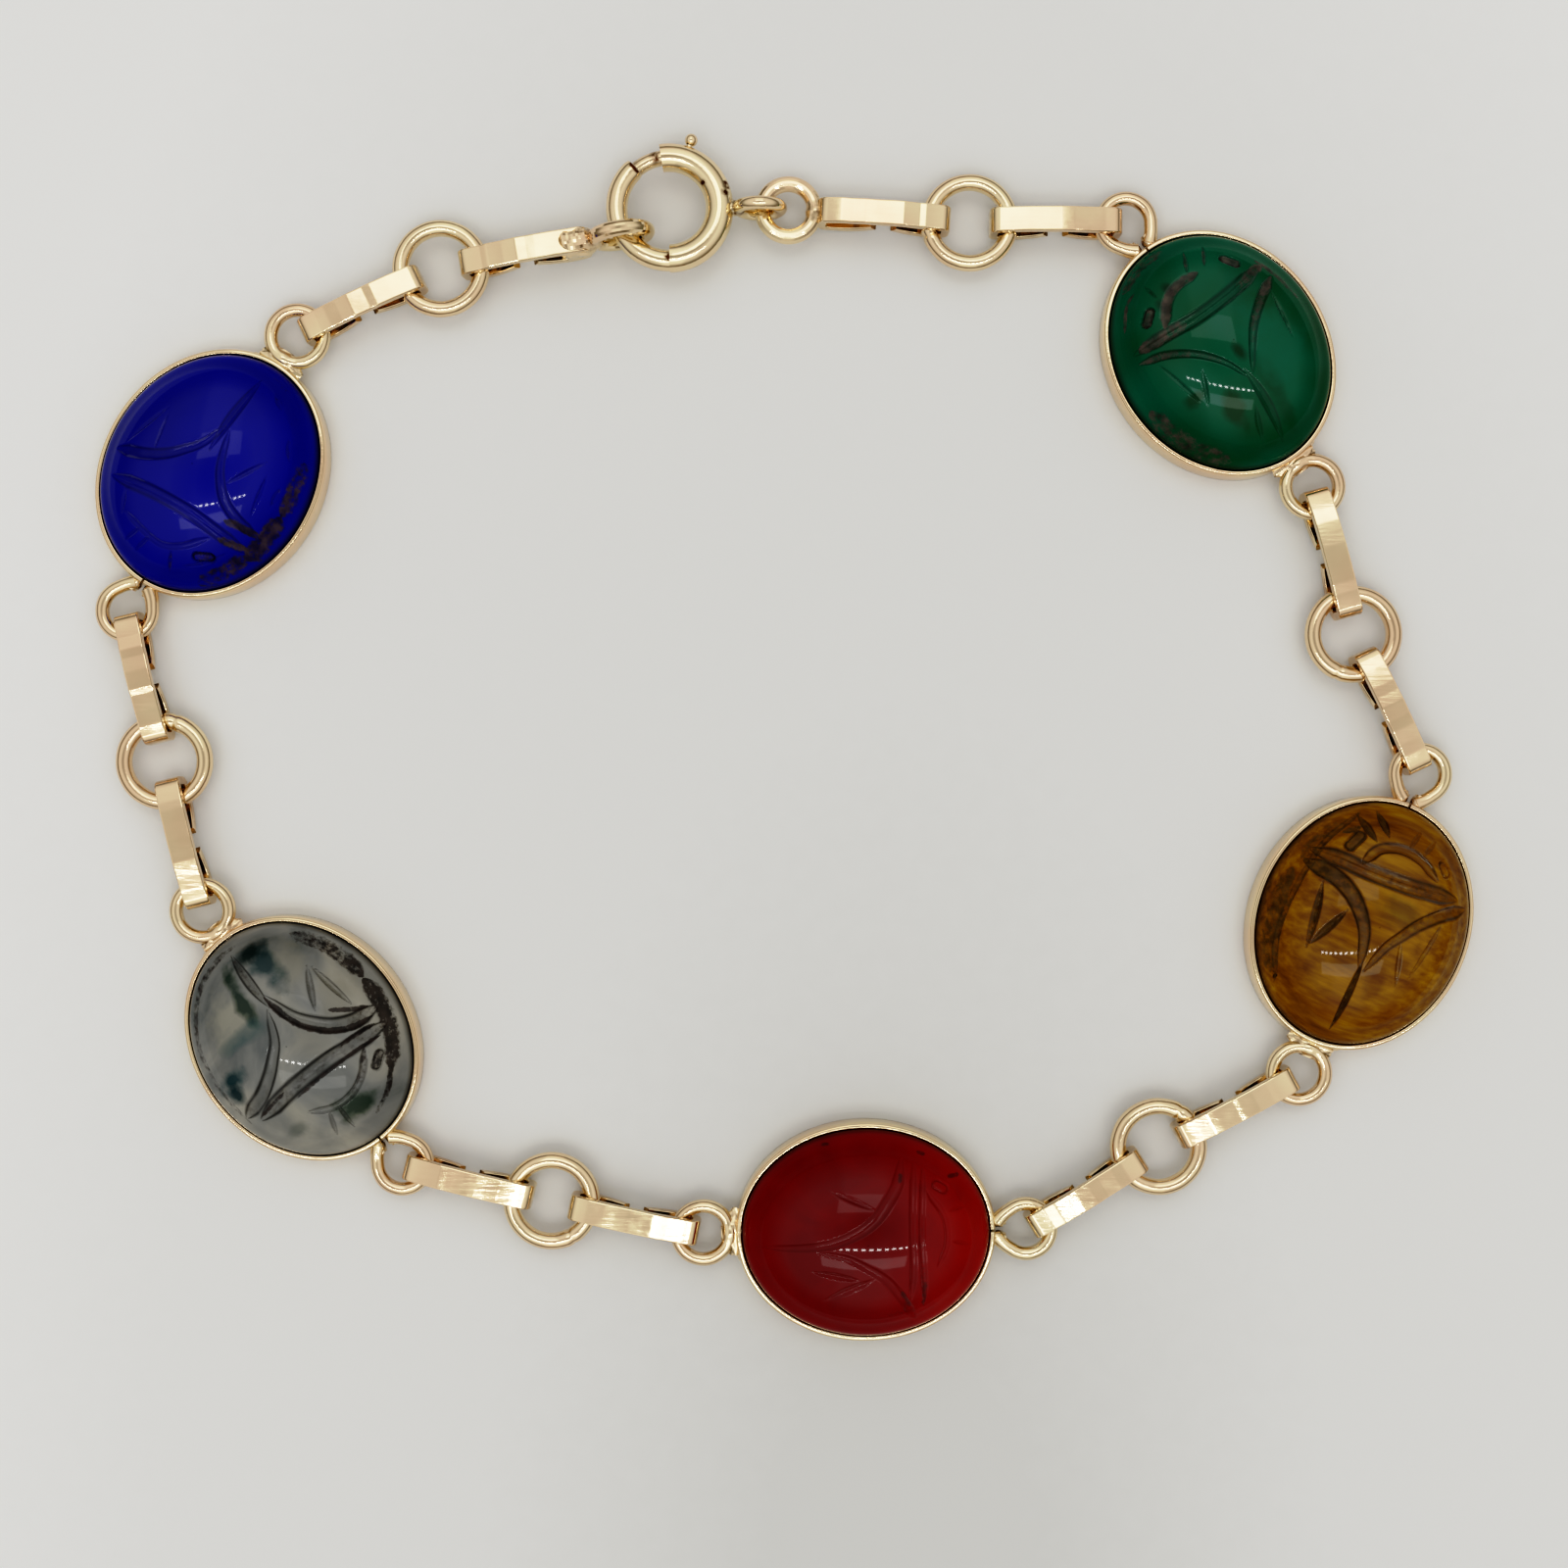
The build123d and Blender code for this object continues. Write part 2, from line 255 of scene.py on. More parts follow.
def finish_tree(tree, mesh, sizes):
    """Gives a swept mesh its slight hand-made waver and its material, and ends the tree."""
    place = node(tree, "GeometryNodeInputPosition")
    normal = node(tree, "GeometryNodeInputNormal")
    noise = node(tree, "ShaderNodeTexNoise", {"Vector": place, "Scale": 620, "Detail": 1})
    lift = node(tree, "ShaderNodeMath", {0: noise, 1: 0.5}, operation="SUBTRACT")
    lift = node(tree, "ShaderNodeMath", {0: lift, 1: sizes["Waver"]}, operation="MULTIPLY")
    step = node(tree, "ShaderNodeVectorMath", {0: normal, "Scale": lift}, operation="SCALE")
    moved = node(tree, "GeometryNodeSetPosition", {"Geometry": mesh, "Offset": step})
    whole = node(tree, "GeometryNodeRealizeInstances", {"Geometry": moved})
    dressed = node(tree, "GeometryNodeSetMaterial", {"Geometry": whole, "Material": sizes["Material"]})
    node(tree, "NodeGroupOutput", {"Geometry": dressed})


def applied(holder):
    """The plain mesh that an object's modifier makes. The object itself goes."""
    ready = holder.evaluated_get(bpy.context.evaluated_depsgraph_get())
    made = bpy.data.meshes.new_from_object(ready)
    bpy.data.objects.remove(holder)
    return made


def grown(tree, values, path=None):
    """The plain mesh that a tree makes from its sizes, along a path where it needs one."""
    holder = in_scene("holder", path or bpy.data.meshes.new("holder"))
    modifier = holder.modifiers.new("tree", "NODES")
    modifier.node_group = tree
    for item in tree.interface.items_tree:
        if item.item_type == "SOCKET" and item.in_out == "INPUT" and item.name in values:
            modifier[item.identifier] = values[item.name]
    return applied(holder)


def path_mesh(points, thick=None, closed=False):
    """A line of edges for a wire to follow, with the wire's share of its full thickness at each point."""
    made = bpy.data.meshes.new("path")
    edges = [(i, i + 1) for i in range(len(points) - 1)]
    if closed:
        edges.append((len(points) - 1, 0))
    made.from_pydata([tuple(p) for p in points], edges, [])
    shares = made.attributes.new("thick", "FLOAT", "POINT")
    shares.data.foreach_set("value", [1.0] * len(points) if thick is None else list(thick))
    return made


def as_mesh(shape, name):
    """The mesh of a built shape. The shape itself goes."""
    made = bpy.data.meshes.new(name)
    shape.to_mesh(made)
    shape.free()
    return made


def shade_smooth(mesh, sharp):
    """Smooth shading, with every edge that bends more than an angle in degrees left crisp."""
    mesh.polygons.foreach_set("use_smooth", [True] * len(mesh.polygons))
    mesh.set_sharp_from_angle(angle=radians(sharp))


def piece(name, parts, body, replaced, material, tarnish_and_shade_spots, sharp=40):
    """Joins placed meshes into one piece that rides on a body and stands for a node."""
    whole = bmesh.new()
    for mesh, place in parts:
        part = bmesh.new()
        part.from_mesh(mesh)
        part.transform(place)
        bmesh.ops.remove_doubles(part, verts=part.verts, dist=0.0005 * mm)
        bmesh.ops.recalc_face_normals(part, faces=part.faces)
        joined = as_mesh(part, "part")
        whole.from_mesh(joined)
        bpy.data.meshes.remove(joined)
    data = as_mesh(whole, name)
    data.materials.clear()
    data.materials.append(material)
    data.polygons.foreach_set("material_index", [0] * len(data.polygons))
    shade_smooth(data, sharp)
    spots = np.zeros(len(data.vertices))
    places = np.zeros(len(data.vertices) * 3)
    data.vertices.foreach_get("co", places)
    places = places.reshape(-1, 3)
    # Tarnish at joints and painted shade in creases and gaps, strongest at each spot
    for point, reach, strength in tarnish_and_shade_spots:
        away = np.linalg.norm(places - np.array(point), axis=1)
        spots = np.maximum(spots, strength * np.clip(1.5 - away / reach, 0, 1))
    data.attributes.new("tarnish_and_painted_shade", "FLOAT", "POINT").data.foreach_set("value", spots)
    made = in_scene(name, data)
    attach(made, body)
    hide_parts(replaced)


# Wire that follows a path: rings, loops and the clasp's curved parts
bent_wire, sizes = new_tree(
    "bent_wire", {"Wire": "Float", "Sides": "Int", "Waver": "Float", "Material": "Material"}
)
line = node(bent_wire, "GeometryNodeMeshToCurve", {"Mesh": sizes["Geometry"]})
half_wire = node(bent_wire, "ShaderNodeMath", {0: sizes["Wire"], 1: 0.5}, operation="MULTIPLY")
section = node(
    bent_wire, "GeometryNodeCurvePrimitiveCircle", {"Resolution": sizes["Sides"], "Radius": half_wire}
)
share = node(bent_wire, "GeometryNodeInputNamedAttribute", {"Name": "thick"})
swept = node(
    bent_wire,
    "GeometryNodeCurveToMesh",
    {"Curve": line, "Profile Curve": section, "Scale": share, "Fill Caps": True},
)
finish_tree(bent_wire, swept, sizes)

# Strip that follows the stone's oval, with its seam open at the head end
bezel_strip, sizes = new_tree(
    "bezel_strip",
    {
        "Half Length": "Float",
        "Half Width": "Float",
        "Seam": "Float",
        "Section": "Object",
        "Waver": "Float",
        "Material": "Material",
    },
)
seam_turn = node(
    bezel_strip, "ShaderNodeMath", {0: sizes["Seam"], 1: sizes["Half Width"]}, operation="DIVIDE"
)
half_turn = node(bezel_strip, "ShaderNodeMath", {0: seam_turn, 1: 0.5}, operation="MULTIPLY")
whole_turn = node(bezel_strip, "ShaderNodeMath", {0: 2 * pi, 1: seam_turn}, operation="SUBTRACT")
arc = node(
    bezel_strip,
    "GeometryNodeCurveArc",
    {"Resolution": 200, "Radius": 1.0, "Start Angle": half_turn, "Sweep Angle": whole_turn},
    mode="RADIUS",
)
place = node(bezel_strip, "GeometryNodeInputPosition")
stretch = node(bezel_strip, "ShaderNodeCombineXYZ", {"X": sizes["Half Length"], "Y": sizes["Half Width"]})
spread = node(bezel_strip, "ShaderNodeVectorMath", {0: place, 1: stretch}, operation="MULTIPLY")
oval = node(bezel_strip, "GeometryNodeSetPosition", {"Geometry": arc, "Position": spread})
held_level = node(bezel_strip, "GeometryNodeSetCurveNormal", {"Curve": oval}, mode="Z_UP")
cut = node(bezel_strip, "GeometryNodeObjectInfo", {"Object": sizes["Section"]}, out="Geometry")
outline = node(bezel_strip, "GeometryNodeMeshToCurve", {"Mesh": cut})
swept = node(
    bezel_strip, "GeometryNodeCurveToMesh", {"Curve": held_level, "Profile Curve": outline, "Fill Caps": True}
)
finish_tree(bezel_strip, swept, sizes)


def rounded(points, radius, steps=3):
    """A closed outline with each of its corners rounded by up to a radius."""
    made = []
    count = len(points)
    for number, point in enumerate(points):
        here = Vector(point)
        before = (Vector(points[number - 1]) - here)
        after = (Vector(points[(number + 1) % count]) - here)
        reach = min(radius, before.length * 0.45, after.length * 0.45)
        start = here + before.normalized() * reach
        end = here + after.normalized() * reach
        for step in range(steps + 1):
            t = step / steps
            made.append(start * (1 - t) ** 2 + here * 2 * t * (1 - t) + end * t ** 2)
    return made


# The strip's section: steps outwards from the stone's edge, and heights. The sweep hangs it upside down
inner = bezel_play
outer = bezel_play + bezel_wall
section_corners = [
    (outer, 0),
    (outer, 0.55 * wall_height),
    (outer, wall_height),
    (outer - 0.35 * rim_lean, rim_height - 0.12 * mm),
    (outer - rim_lean, rim_height),
    (inner - rim_lean + 0.03 * mm, rim_height),
    (inner - rim_lean, rim_height - 0.07 * mm),
    (inner, wall_height),
    (inner, seat_top),
    (inner - seat_reach, seat_top),
    (inner - seat_reach, 0),
]
section_line = rounded([(across, -height) for across, height in section_corners], edge_radius)
section_mesh = path_mesh([(p.x, p.y, 0) for p in section_line], closed=True)
section_object = in_scene("bezel_section", section_mesh)


def split_loop_path():
    """Teardrop of wire from one side of the seam round to the other, and its thickness."""
    turn = radians(128)
    tip = Vector((split_loop_radius * cos(turn), split_loop_radius * sin(turn)))
    leg_end = Vector((-split_loop_radius - 0.22 * mm, seam_width / 2 + loop_wire * 0.42))
    leg_steps = 10
    arc_steps = 84
    points = []
    for step in range(leg_steps):
        t = step / leg_steps
        bend = 0.06 * mm * sin(pi * t)
        points.append(Vector((*leg_end.lerp(tip, t), 0)) + Vector((0, bend, 0)))
    for step in range(arc_steps + 1):
        angle = turn * (1 - 2 * step / arc_steps)
        points.append(Vector((split_loop_radius * cos(angle), split_loop_radius * sin(angle), 0)))
    for step in range(leg_steps - 1, -1, -1):
        first = points[step]
        points.append(Vector((first.x, -first.y, 0)))
    count = len(points)
    ends = [min(i, count - 1 - i) / leg_steps for i in range(count)]
    thick = [1 + 0.16 * max(0, 1 - end) ** 2 for end in ends]
    return path_mesh(points, thick)


def ring_path(radius, seam=0.0, swell=0.0, steps=120):
    """A circle of wire. Its soldered joint lies at +X: a fine dent of the seam's share in a swelling."""
    points = []
    thick = []
    for step in range(steps):
        angle = 2 * pi * step / steps
        points.append(Vector((radius * cos(angle), radius * sin(angle), 0)))
        near = max(0, cos(angle))
        thick.append(1 + swell * near ** 30 - seam * near ** 900)
    return path_mesh(points, thick, closed=True)


lump_size = 0.36 * mm


def lofted(rows, lumps=0.0, sides=30, steps=20):
    """A closed form along X from rows of (x, half width, half height) in mm. Lumps are a share of that."""
    shape = bmesh.new()
    rings = []
    for step in range(steps + 1):
        at = (len(rows) - 1) * step / steps
        x, width, height = (np.interp(at, range(len(rows)), column) * mm for column in zip(*rows))
        ring = []
        for side in range(sides):
            angle = 2 * pi * side / sides
            point = Vector((x, width * cos(angle), height * sin(angle)))
            swell = 1 + lumps * ripple(point / lump_size)
            ring.append(shape.verts.new((x, point.y * swell, point.z * swell)))
        rings.append(ring)
    for first, second in zip(rings, rings[1:]):
        for side in range(sides):
            other = (side + 1) % sides
            shape.faces.new((first[side], first[other], second[other], second[side]))
    shape.faces.new(rings[0])
    shape.faces.new(rings[-1])
    return as_mesh(shape, "loft")


# Solder neck between the round loop and the strip: it flares on to the strip like the foot of a Y
neck_rows = [
    (-0.30, 1.40, 0.28),
    (-0.10, 1.26, 0.37),
    (0.04, 1.10, 0.43),
    (0.20, 1.00, 0.44),
    (0.36, 0.92, 0.40),
    (0.54, 0.66, 0.34),
    (0.70, 0.36, 0.22),
]
# Solder on each end of the split loop, where it stands against the strip
foot_rows = [(-0.22, 0.30, 0.24), (0.00, 0.34, 0.34), (0.22, 0.34, 0.36), (0.50, 0.24, 0.28)]
foot_step = 0.42 * mm
stone_places = {}
wall_outer = stone_half_length + outer
round_loop_step = wall_outer + round_loop_radius + loop_wire / 2 - loop_bite
split_loop_step = wall_outer + split_loop_radius + loop_wire / 2 - loop_bite
loops = {}
bezel_sizes = {
    "Half Length": stone_half_length,
    "Half Width": stone_half_width,
    "Seam": seam_width,
    "Section": section_object,
    "Waver": 0.03 * mm,
    "Material": gold,
}
loop_sizes = {"Wire": loop_wire, "Sides": 18, "Waver": 0.06 * mm, "Material": gold}
for colour, heading in bezel_headings.items():
    low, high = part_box("stone_" + colour)
    middle = (low + high) / 2
    turned = Matrix.Translation((middle.x, middle.y, 0)) @ Matrix.Rotation(radians(heading), 4, "Z")
    stone_places[colour] = (turned, low.z)
    tail_side = turned @ Matrix.Translation((-round_loop_step, 0, loop_height))
    head_side = turned @ Matrix.Translation((split_loop_step, 0, loop_height))
    neck_place = turned @ Matrix.Translation((-wall_outer, 0, loop_height - 0.1 * mm))
    neck_place = neck_place @ Matrix.Rotation(pi, 4, "Z")
    parts = [
        (grown(bezel_strip, bezel_sizes), turned),
        (grown(bent_wire, loop_sizes, ring_path(round_loop_radius, 0.0, 0.25)), tail_side),
        (grown(bent_wire, loop_sizes, split_loop_path()), head_side),
        (lofted(neck_rows, 0.42), neck_place),
    ]
    for across in (-foot_step, foot_step):
        foot_place = turned @ Matrix.Translation((wall_outer, across, loop_height - 0.06 * mm))
        parts.append((lofted(foot_rows, 0.1), foot_place))
    loops[colour] = (tail_side.translation, head_side.translation)
    seam_point = turned @ Vector((wall_outer, 0, 0.8 * mm))
    neck_point = turned @ Vector((-wall_outer - 0.1 * mm, 0.6 * mm, 0.9 * mm))
    other_point = turned @ Vector((-wall_outer - 0.1 * mm, -0.7 * mm, 0.9 * mm))
    spots = [(seam_point, 0.36 * mm, 1.2), (neck_point, 0.3 * mm, 0.9), (other_point, 0.26 * mm, 0.8)]
    piece("gold_bezel_" + colour, parts, "bracelet", "bezel_" + colour, gold, spots, 35)
bpy.data.objects.remove(section_object)

# Stones: oval domes on flat backs, cut with a fine wheel as beetles: twin cuts across the shoulders, two
# curved wing lines, small cuts on each wing, notches and drilled eyes on the head, and a groove round the
# edge. Old polishing paste stays brown in the cuts.
dome_height = 3.6 * mm
girdle = 0.4 * mm
stone_grid = 266
dome_spread = 1.15
border_middle = 0.70 * mm
border_half = 0.40 * mm
border_depth = 0.05 * mm
cut_run_out = 0.3 * mm
chatter_length = 0.13 * mm
shadow_reach = 0.2 * mm
skirt_start = 0.9 * mm
skirt_end = 2.1 * mm
seen_half_length = 6.0 * mm
seen_half_width = 4.98 * mm

# Each cut: its shape, width and depth in mm, the paste at its start and its end, and its line as the
# camera sees it, in shares of the bezel's mouth with the beetle's head at +X. A stain has no depth
tiger_cuts = [
    (
        "twin", 0.92, 0.20, 0.5, 0.5,
        [(.41, .68), (.42, .40), (.41, .12), (.42, -.27), (.44, -.52), (.46, -.78)],
    ),
    (
        "wing", 0.92, 0.24, 0.95, 0.6,
        [(.30, .70), (.28, .45), (.21, .24), (.11, .09), (-.02, -.03), (-.15, -.09), (-.36, -.14)],
    ),
    ("leaf", 0.36, 0.22, 1.0, 1.0, [(-.28, -.145), (-.60, -.135), (-.90, -.09)]),
    (
        "wing", 0.74, 0.20, 0.3, 0.5,
        [(.40, -.86), (.30, -.70), (.16, -.53), (.01, -.40), (-.12, -.30), (-.37, -.18)],
    ),
    ("leaf", 0.40, 0.22, 0.7, 0.9, [(-.35, .42), (.20, .51)]),
    ("leaf", 0.40, 0.22, 0.9, 0.9, [(-.31, .40), (.06, .18)]),
    ("leaf", 0.30, 0.12, 0.3, 0.3, [(-.37, -.53), (-.02, -.42)]),
    ("leaf", 0.28, 0.11, 0.4, 0.4, [(-.28, -.62), (.27, -.73)]),
    ("groove", 0.56, 0.20, 0.1, 0.1, [(.49, .20), (.62, .10), (.68, -.10), (.65, -.32), (.54, -.54)]),
    ("leaf", 0.44, 0.22, 0.9, 0.8, [(.80, .44), (.66, .17)]),
    ("leaf", 0.42, 0.20, 0.9, 0.7, [(.89, .28), (.73, .07)]),
    ("leaf", 0.26, 0.10, 0.2, 0.2, [(.70, -.15), (.87, -.20)]),
    ("leaf", 0.26, 0.10, 0.3, 0.3, [(.68, -.30), (.85, -.37)]),
    ("eye", 0.46, 0.13, 1.0, 1.0, [(.55, .40), (.66, .34)]),
    ("eye", 0.40, 0.10, 0.2, 0.2, [(.63, -.58), (.68, -.52)]),
    ("leaf", 0.30, 0.12, 0.9, 0.9, [(.62, .52), (.73, .36)]),
    ("stain", 0.78, 0.0, 0.74, 0.82, [(-.66, .66), (-.35, .80), (-.05, .84), (.22, .84)]),
    ("stain", 0.60, 0.0, 0.7, 0.5, [(.30, .80), (.55, .68), (.74, .52)]),
    (
        "groove", 0.26, 0.13, 0.6, 0.6,
        [(-.67, .60), (-.40, .72), (-.10, .75), (.25, .71), (.55, .62), (.85, .42)],
    ),
    ("eye", 0.12, 0.10, 1.0, 1.0, [(-.67, .605), (-.66, .60)]),
]
green_cuts = [
    (
        "twin", 0.74, 0.19, 0.0, 0.0,
        [(.385, .64), (.37, .30), (.345, .02), (.345, -.25), (.36, -.52), (.39, -.80)],
    ),
    ("stain", 0.78, 0.0, 1.0, 0.5, [(.385, .66), (.375, .40), (.36, .10)]),
    ("stain", 0.62, 0.0, 0.4, 1.0, [(.36, -.50), (.38, -.66), (.39, -.82)]),
    (
        "wing", 0.46, 0.17, 0.8, 0.0,
        [(.29, .66), (.245, .47), (.16, .29), (.05, .14), (-.11, 0.0), (-.32, -.10)],
    ),
    ("leaf", 0.53, 0.14, 0.0, 0.0, [(-.22, -.10), (-.45, -.10), (-.66, -.07), (-.88, 0.0)]),
    ("wing", 0.57, 0.17, 1.0, 0.0, [(.25, -.80), (.16, -.62), (.04, -.44), (-.10, -.30), (-.30, -.13)]),
    ("leaf", 0.26, 0.10, 0.0, 0.0, [(-.30, .40), (-.02, .24)]),
    ("leaf", 0.22, 0.09, 0.0, 0.0, [(-.24, .44), (.22, .57)]),
    ("leaf", 0.26, 0.10, 0.1, 0.3, [(-.24, -.67), (.17, -.75)]),
    ("leaf", 0.34, 0.09, 0.0, 0.0, [(-.78, .16), (-.64, .09), (-.52, .02)]),
    ("groove", 0.57, 0.10, 1.0, 1.0, [(.46, .27), (.59, .13), (.65, -.04), (.64, -.28)]),
    ("leaf", 0.22, 0.10, 0.7, 0.7, [(.68, -.18), (.84, -.27)]),
    ("leaf", 0.22, 0.10, 0.7, 0.7, [(.65, -.36), (.79, -.46)]),
    ("leaf", 0.19, 0.09, 0.3, 0.3, [(.66, .20), (.80, .24)]),
    ("eye", 0.38, 0.13, 1.0, 1.0, [(.54, .43), (.60, .34)]),
    ("eye", 0.38, 0.12, 1.0, 1.0, [(.52, -.63), (.61, -.56)]),
    ("stain", 0.80, 0.0, 0.6, 0.75, [(-.78, .53), (-.55, .72), (-.30, .84), (-.05, .90)]),
    ("stain", 0.20, 0.0, 0.8, 0.8, [(.58, .66), (.74, .50), (.80, .36)]),
    ("stain", 0.5, 0.0, 0.6, 0.65, [(.84, .46), (.93, .18), (.95, -.12)]),
    ("stain", 0.34, 0.0, 0.5, 0.9, [(-.02, -.93), (.25, -.88), (.45, -.79)]),
]
blue_cuts = [
    (
        "wing", 0.58, 0.14, 0.0, 0.0,
        [(.24, .68), (.20, .45), (.13, .27), (.02, .14), (-.12, .04), (-.40, -.06)],
    ),
    ("leaf", 0.51, 0.14, 0.2, 0.2, [(-.16, -.12), (-.45, -.11), (-.66, -.08), (-.86, -.04)]),
    (
        "wing", 0.66, 0.14, 0.0, 0.0,
        [(.21, -.86), (.15, -.66), (.06, -.48), (-.06, -.33), (-.20, -.20), (-.42, -.10)],
    ),
    (
        "twin", 0.70, 0.14, 0.0, 0.0,
        [(.39, .68), (.38, .40), (.36, .10), (.36, -.15), (.38, -.45), (.43, -.80)],
    ),
    ("stain", 0.50, 0.0, 1.0, 0.9, [(.23, .76), (.245, .55), (.265, .36)]),
    ("stain", 0.46, 0.0, 0.9, 0.8, [(.37, .72), (.40, .55), (.42, .40)]),
    ("leaf", 0.25, 0.11, 0.2, 0.2, [(-.32, .42), (.01, .19)]),
    ("leaf", 0.20, 0.07, 0.0, 0.0, [(-.24, .49), (.14, .57)]),
    ("leaf", 0.25, 0.08, 0.0, 0.0, [(-.28, -.68), (.14, -.85)]),
    ("leaf", 0.19, 0.07, 0.0, 0.0, [(-.24, -.65), (.09, -.58)]),
    ("leaf", 0.28, 0.07, 0.3, 0.3, [(-.20, .67), (-.03, .68)]),
    ("leaf", 0.25, 0.07, 0.3, 0.3, [(-.57, .49), (-.42, .60)]),
    ("leaf", 0.28, 0.07, 0.3, 0.3, [(-.83, .14), (-.74, .28)]),
    ("groove", 0.34, 0.08, 0.0, 0.0, [(.48, .30), (.61, .16), (.69, .0), (.69, -.18), (.62, -.52)]),
    ("leaf", 0.27, 0.08, 0.3, 0.2, [(.48, .56), (.66, .42), (.77, .24)]),
    ("leaf", 0.22, 0.08, 0.0, 0.0, [(.66, -.16), (.86, -.22)]),
    ("leaf", 0.22, 0.08, 0.0, 0.0, [(.66, -.29), (.83, -.36)]),
    ("leaf", 0.22, 0.08, 0.5, 0.5, [(.70, .08), (.86, .18)]),
    ("leaf", 0.27, 0.07, 0.0, 0.0, [(.46, -.62), (.66, -.52)]),
    ("eye", 0.38, 0.14, 0.62, 0.62, [(.585, .45), (.635, .33)]),
    ("stain", 0.70, 0.0, 0.6, 0.9, [(-.48, .75), (-.25, .79), (0.0, .83)]),
    ("stain", 0.86, 0.0, 0.95, 1.0, [(0.0, .83), (.26, .80), (.45, .76)]),
    ("stain", 0.80, 0.0, 0.85, 0.55, [(.42, .74), (.62, .64), (.82, .47)]),
    ("stain", 0.34, 0.0, 0.4, 0.1, [(-.90, .28), (-.92, .02), (-.89, -.18)]),
]
red_cuts = [
    ("groove", 0.37, 0.10, 0.0, 0.2, [(.395, .64), (.385, .35), (.38, 0.0), (.385, -.37), (.36, -.68)]),
    ("groove", 0.34, 0.10, 0.0, 0.6, [(.47, .60), (.455, .12), (.455, -.12), (.47, -.42), (.47, -.72)]),
    (
        "wing", 0.64, 0.13, 0.1, 0.0,
        [
            (.29, .68), (.26, .46), (.18, .28), (.07, .10),
            (-.10, -.04), (-.32, -.13), (-.60, -.15), (-.88, -.12),
        ],
    ),
    (
        "wing", 0.53, 0.11, 0.4, 0.0,
        [(.38, -.82), (.30, -.67), (.17, -.48), (0.0, -.35), (-.17, -.25), (-.42, -.19)],
    ),
    ("leaf", 0.32, 0.10, 0.0, 0.0, [(-.29, .41), (.08, .21)]),
    ("leaf", 0.48, 0.11, 0.0, 0.0, [(-.34, -.66), (.07, -.46)]),
    ("leaf", 0.40, 0.10, 0.0, 0.0, [(-.44, -.38), (-.04, -.475)]),
    ("groove", 0.32, 0.06, 0.0, 0.0, [(.52, .36), (.64, .14), (.66, -.12), (.58, -.36)]),
    ("leaf", 0.24, 0.06, 0.0, 0.0, [(.68, .20), (.82, .26)]),
    ("leaf", 0.24, 0.06, 0.0, 0.0, [(.70, -.10), (.86, -.12)]),
    ("eye", 0.38, 0.08, 0.0, 0.0, [(.58, .46), (.64, .42)]),
    ("stain", 0.24, 0.0, 1.0, 1.0, [(.29, .58), (.285, .48)]),
    ("stain", 0.26, 0.0, 1.0, 0.9, [(.67, .54), (.76, .56)]),
    ("stain", 0.20, 0.0, 0.9, 0.9, [(.42, .79), (.49, .76)]),
    ("stain", 0.16, 0.0, 0.9, 0.9, [(-.35, .86), (-.29, .87)]),
    ("stain", 0.30, 0.0, 0.9, 0.8, [(.28, -.58), (.36, -.74)]),
    ("stain", 0.28, 0.0, 0.9, 0.8, [(.48, -.50), (.46, -.72)]),
    ("stain", 0.40, 0.0, 0.35, 0.35, [(.10, -.84), (.34, -.76), (.46, -.78)]),
]
grey_cuts = [
    (
        "wing", 0.88, 0.24, 0.45, 0.0,
        [(.17, .72), (.15, .52), (.08, .34), (-.03, .20), (-.17, .08), (-.33, .01), (-.48, -.03)],
    ),
    ("leaf", 0.54, 0.20, 0.2, 0.5, [(-.36, -.05), (-.60, -.06), (-.88, -.03)]),
    (
        "wing", 0.81, 0.22, 0.3, 0.1,
        [(.22, -.86), (.17, -.67), (.09, -.50), (-.01, -.35), (-.13, -.21), (-.36, -.08)],
    ),
    (
        "groove", 0.90, 0.24, 0.35, 0.35,
        [(.32, .70), (.30, .35), (.275, .10), (.27, -.20), (.28, -.45), (.32, -.80)],
    ),
    ("stain", 0.30, 0.0, 1.0, 1.0, [(.13, .72), (.06, .56), (-.05, .38)]),
    (
        "stain", 0.42, 0.0, 1.0, 0.9,
        [(.21, .70), (.19, .50), (.10, .28), (-.04, .12), (-.20, .02), (-.46, -.04)],
    ),
    ("stain", 0.34, 0.0, 1.0, 0.8, [(.27, .66), (.25, .44), (.245, .26)]),
    ("stain", 0.22, 0.0, 1.0, 0.9, [(.375, .64), (.35, .30), (.345, -.12), (.36, -.40)]),
    ("stain", 0.24, 0.0, 0.9, 0.9, [(.26, -.48), (.28, -.64), (.30, -.78)]),
    ("leaf", 0.32, 0.16, 0.2, 0.2, [(-.41, .52), (.03, .60)]),
    ("leaf", 0.34, 0.16, 0.3, 0.2, [(-.44, .49), (-.11, .28)]),
    ("groove", 0.38, 0.12, 0.9, 0.0, [(.40, .40), (.52, .27), (.60, .08), (.60, -.16), (.50, -.40)]),
    ("eye", 0.38, 0.13, 0.6, 0.6, [(.49, .52), (.55, .42)]),
    ("leaf", 0.23, 0.12, 0.2, 0.2, [(.59, -.12), (.83, -.12)]),
    ("leaf", 0.23, 0.12, 0.2, 0.2, [(.60, -.22), (.79, -.30)]),
    ("stain", 0.72, 0.0, 0.5, 0.9, [(-.74, .55), (-.52, .72), (-.30, .82), (-.08, .86)]),
    ("stain", 0.80, 0.0, 1.0, 1.0, [(-.08, .85), (.20, .82), (.45, .70), (.66, .50)]),
    ("stain", 0.36, 0.0, 1.0, 0.5, [(.60, .56), (.76, .36), (.86, .12)]),
    (
        "stain", 0.46, 0.0, 0.62, 0.5,
        [(-.93, .10), (-.92, -.20), (-.80, -.52), (-.50, -.82), (-.10, -.93), (.30, -.90)],
    ),
]


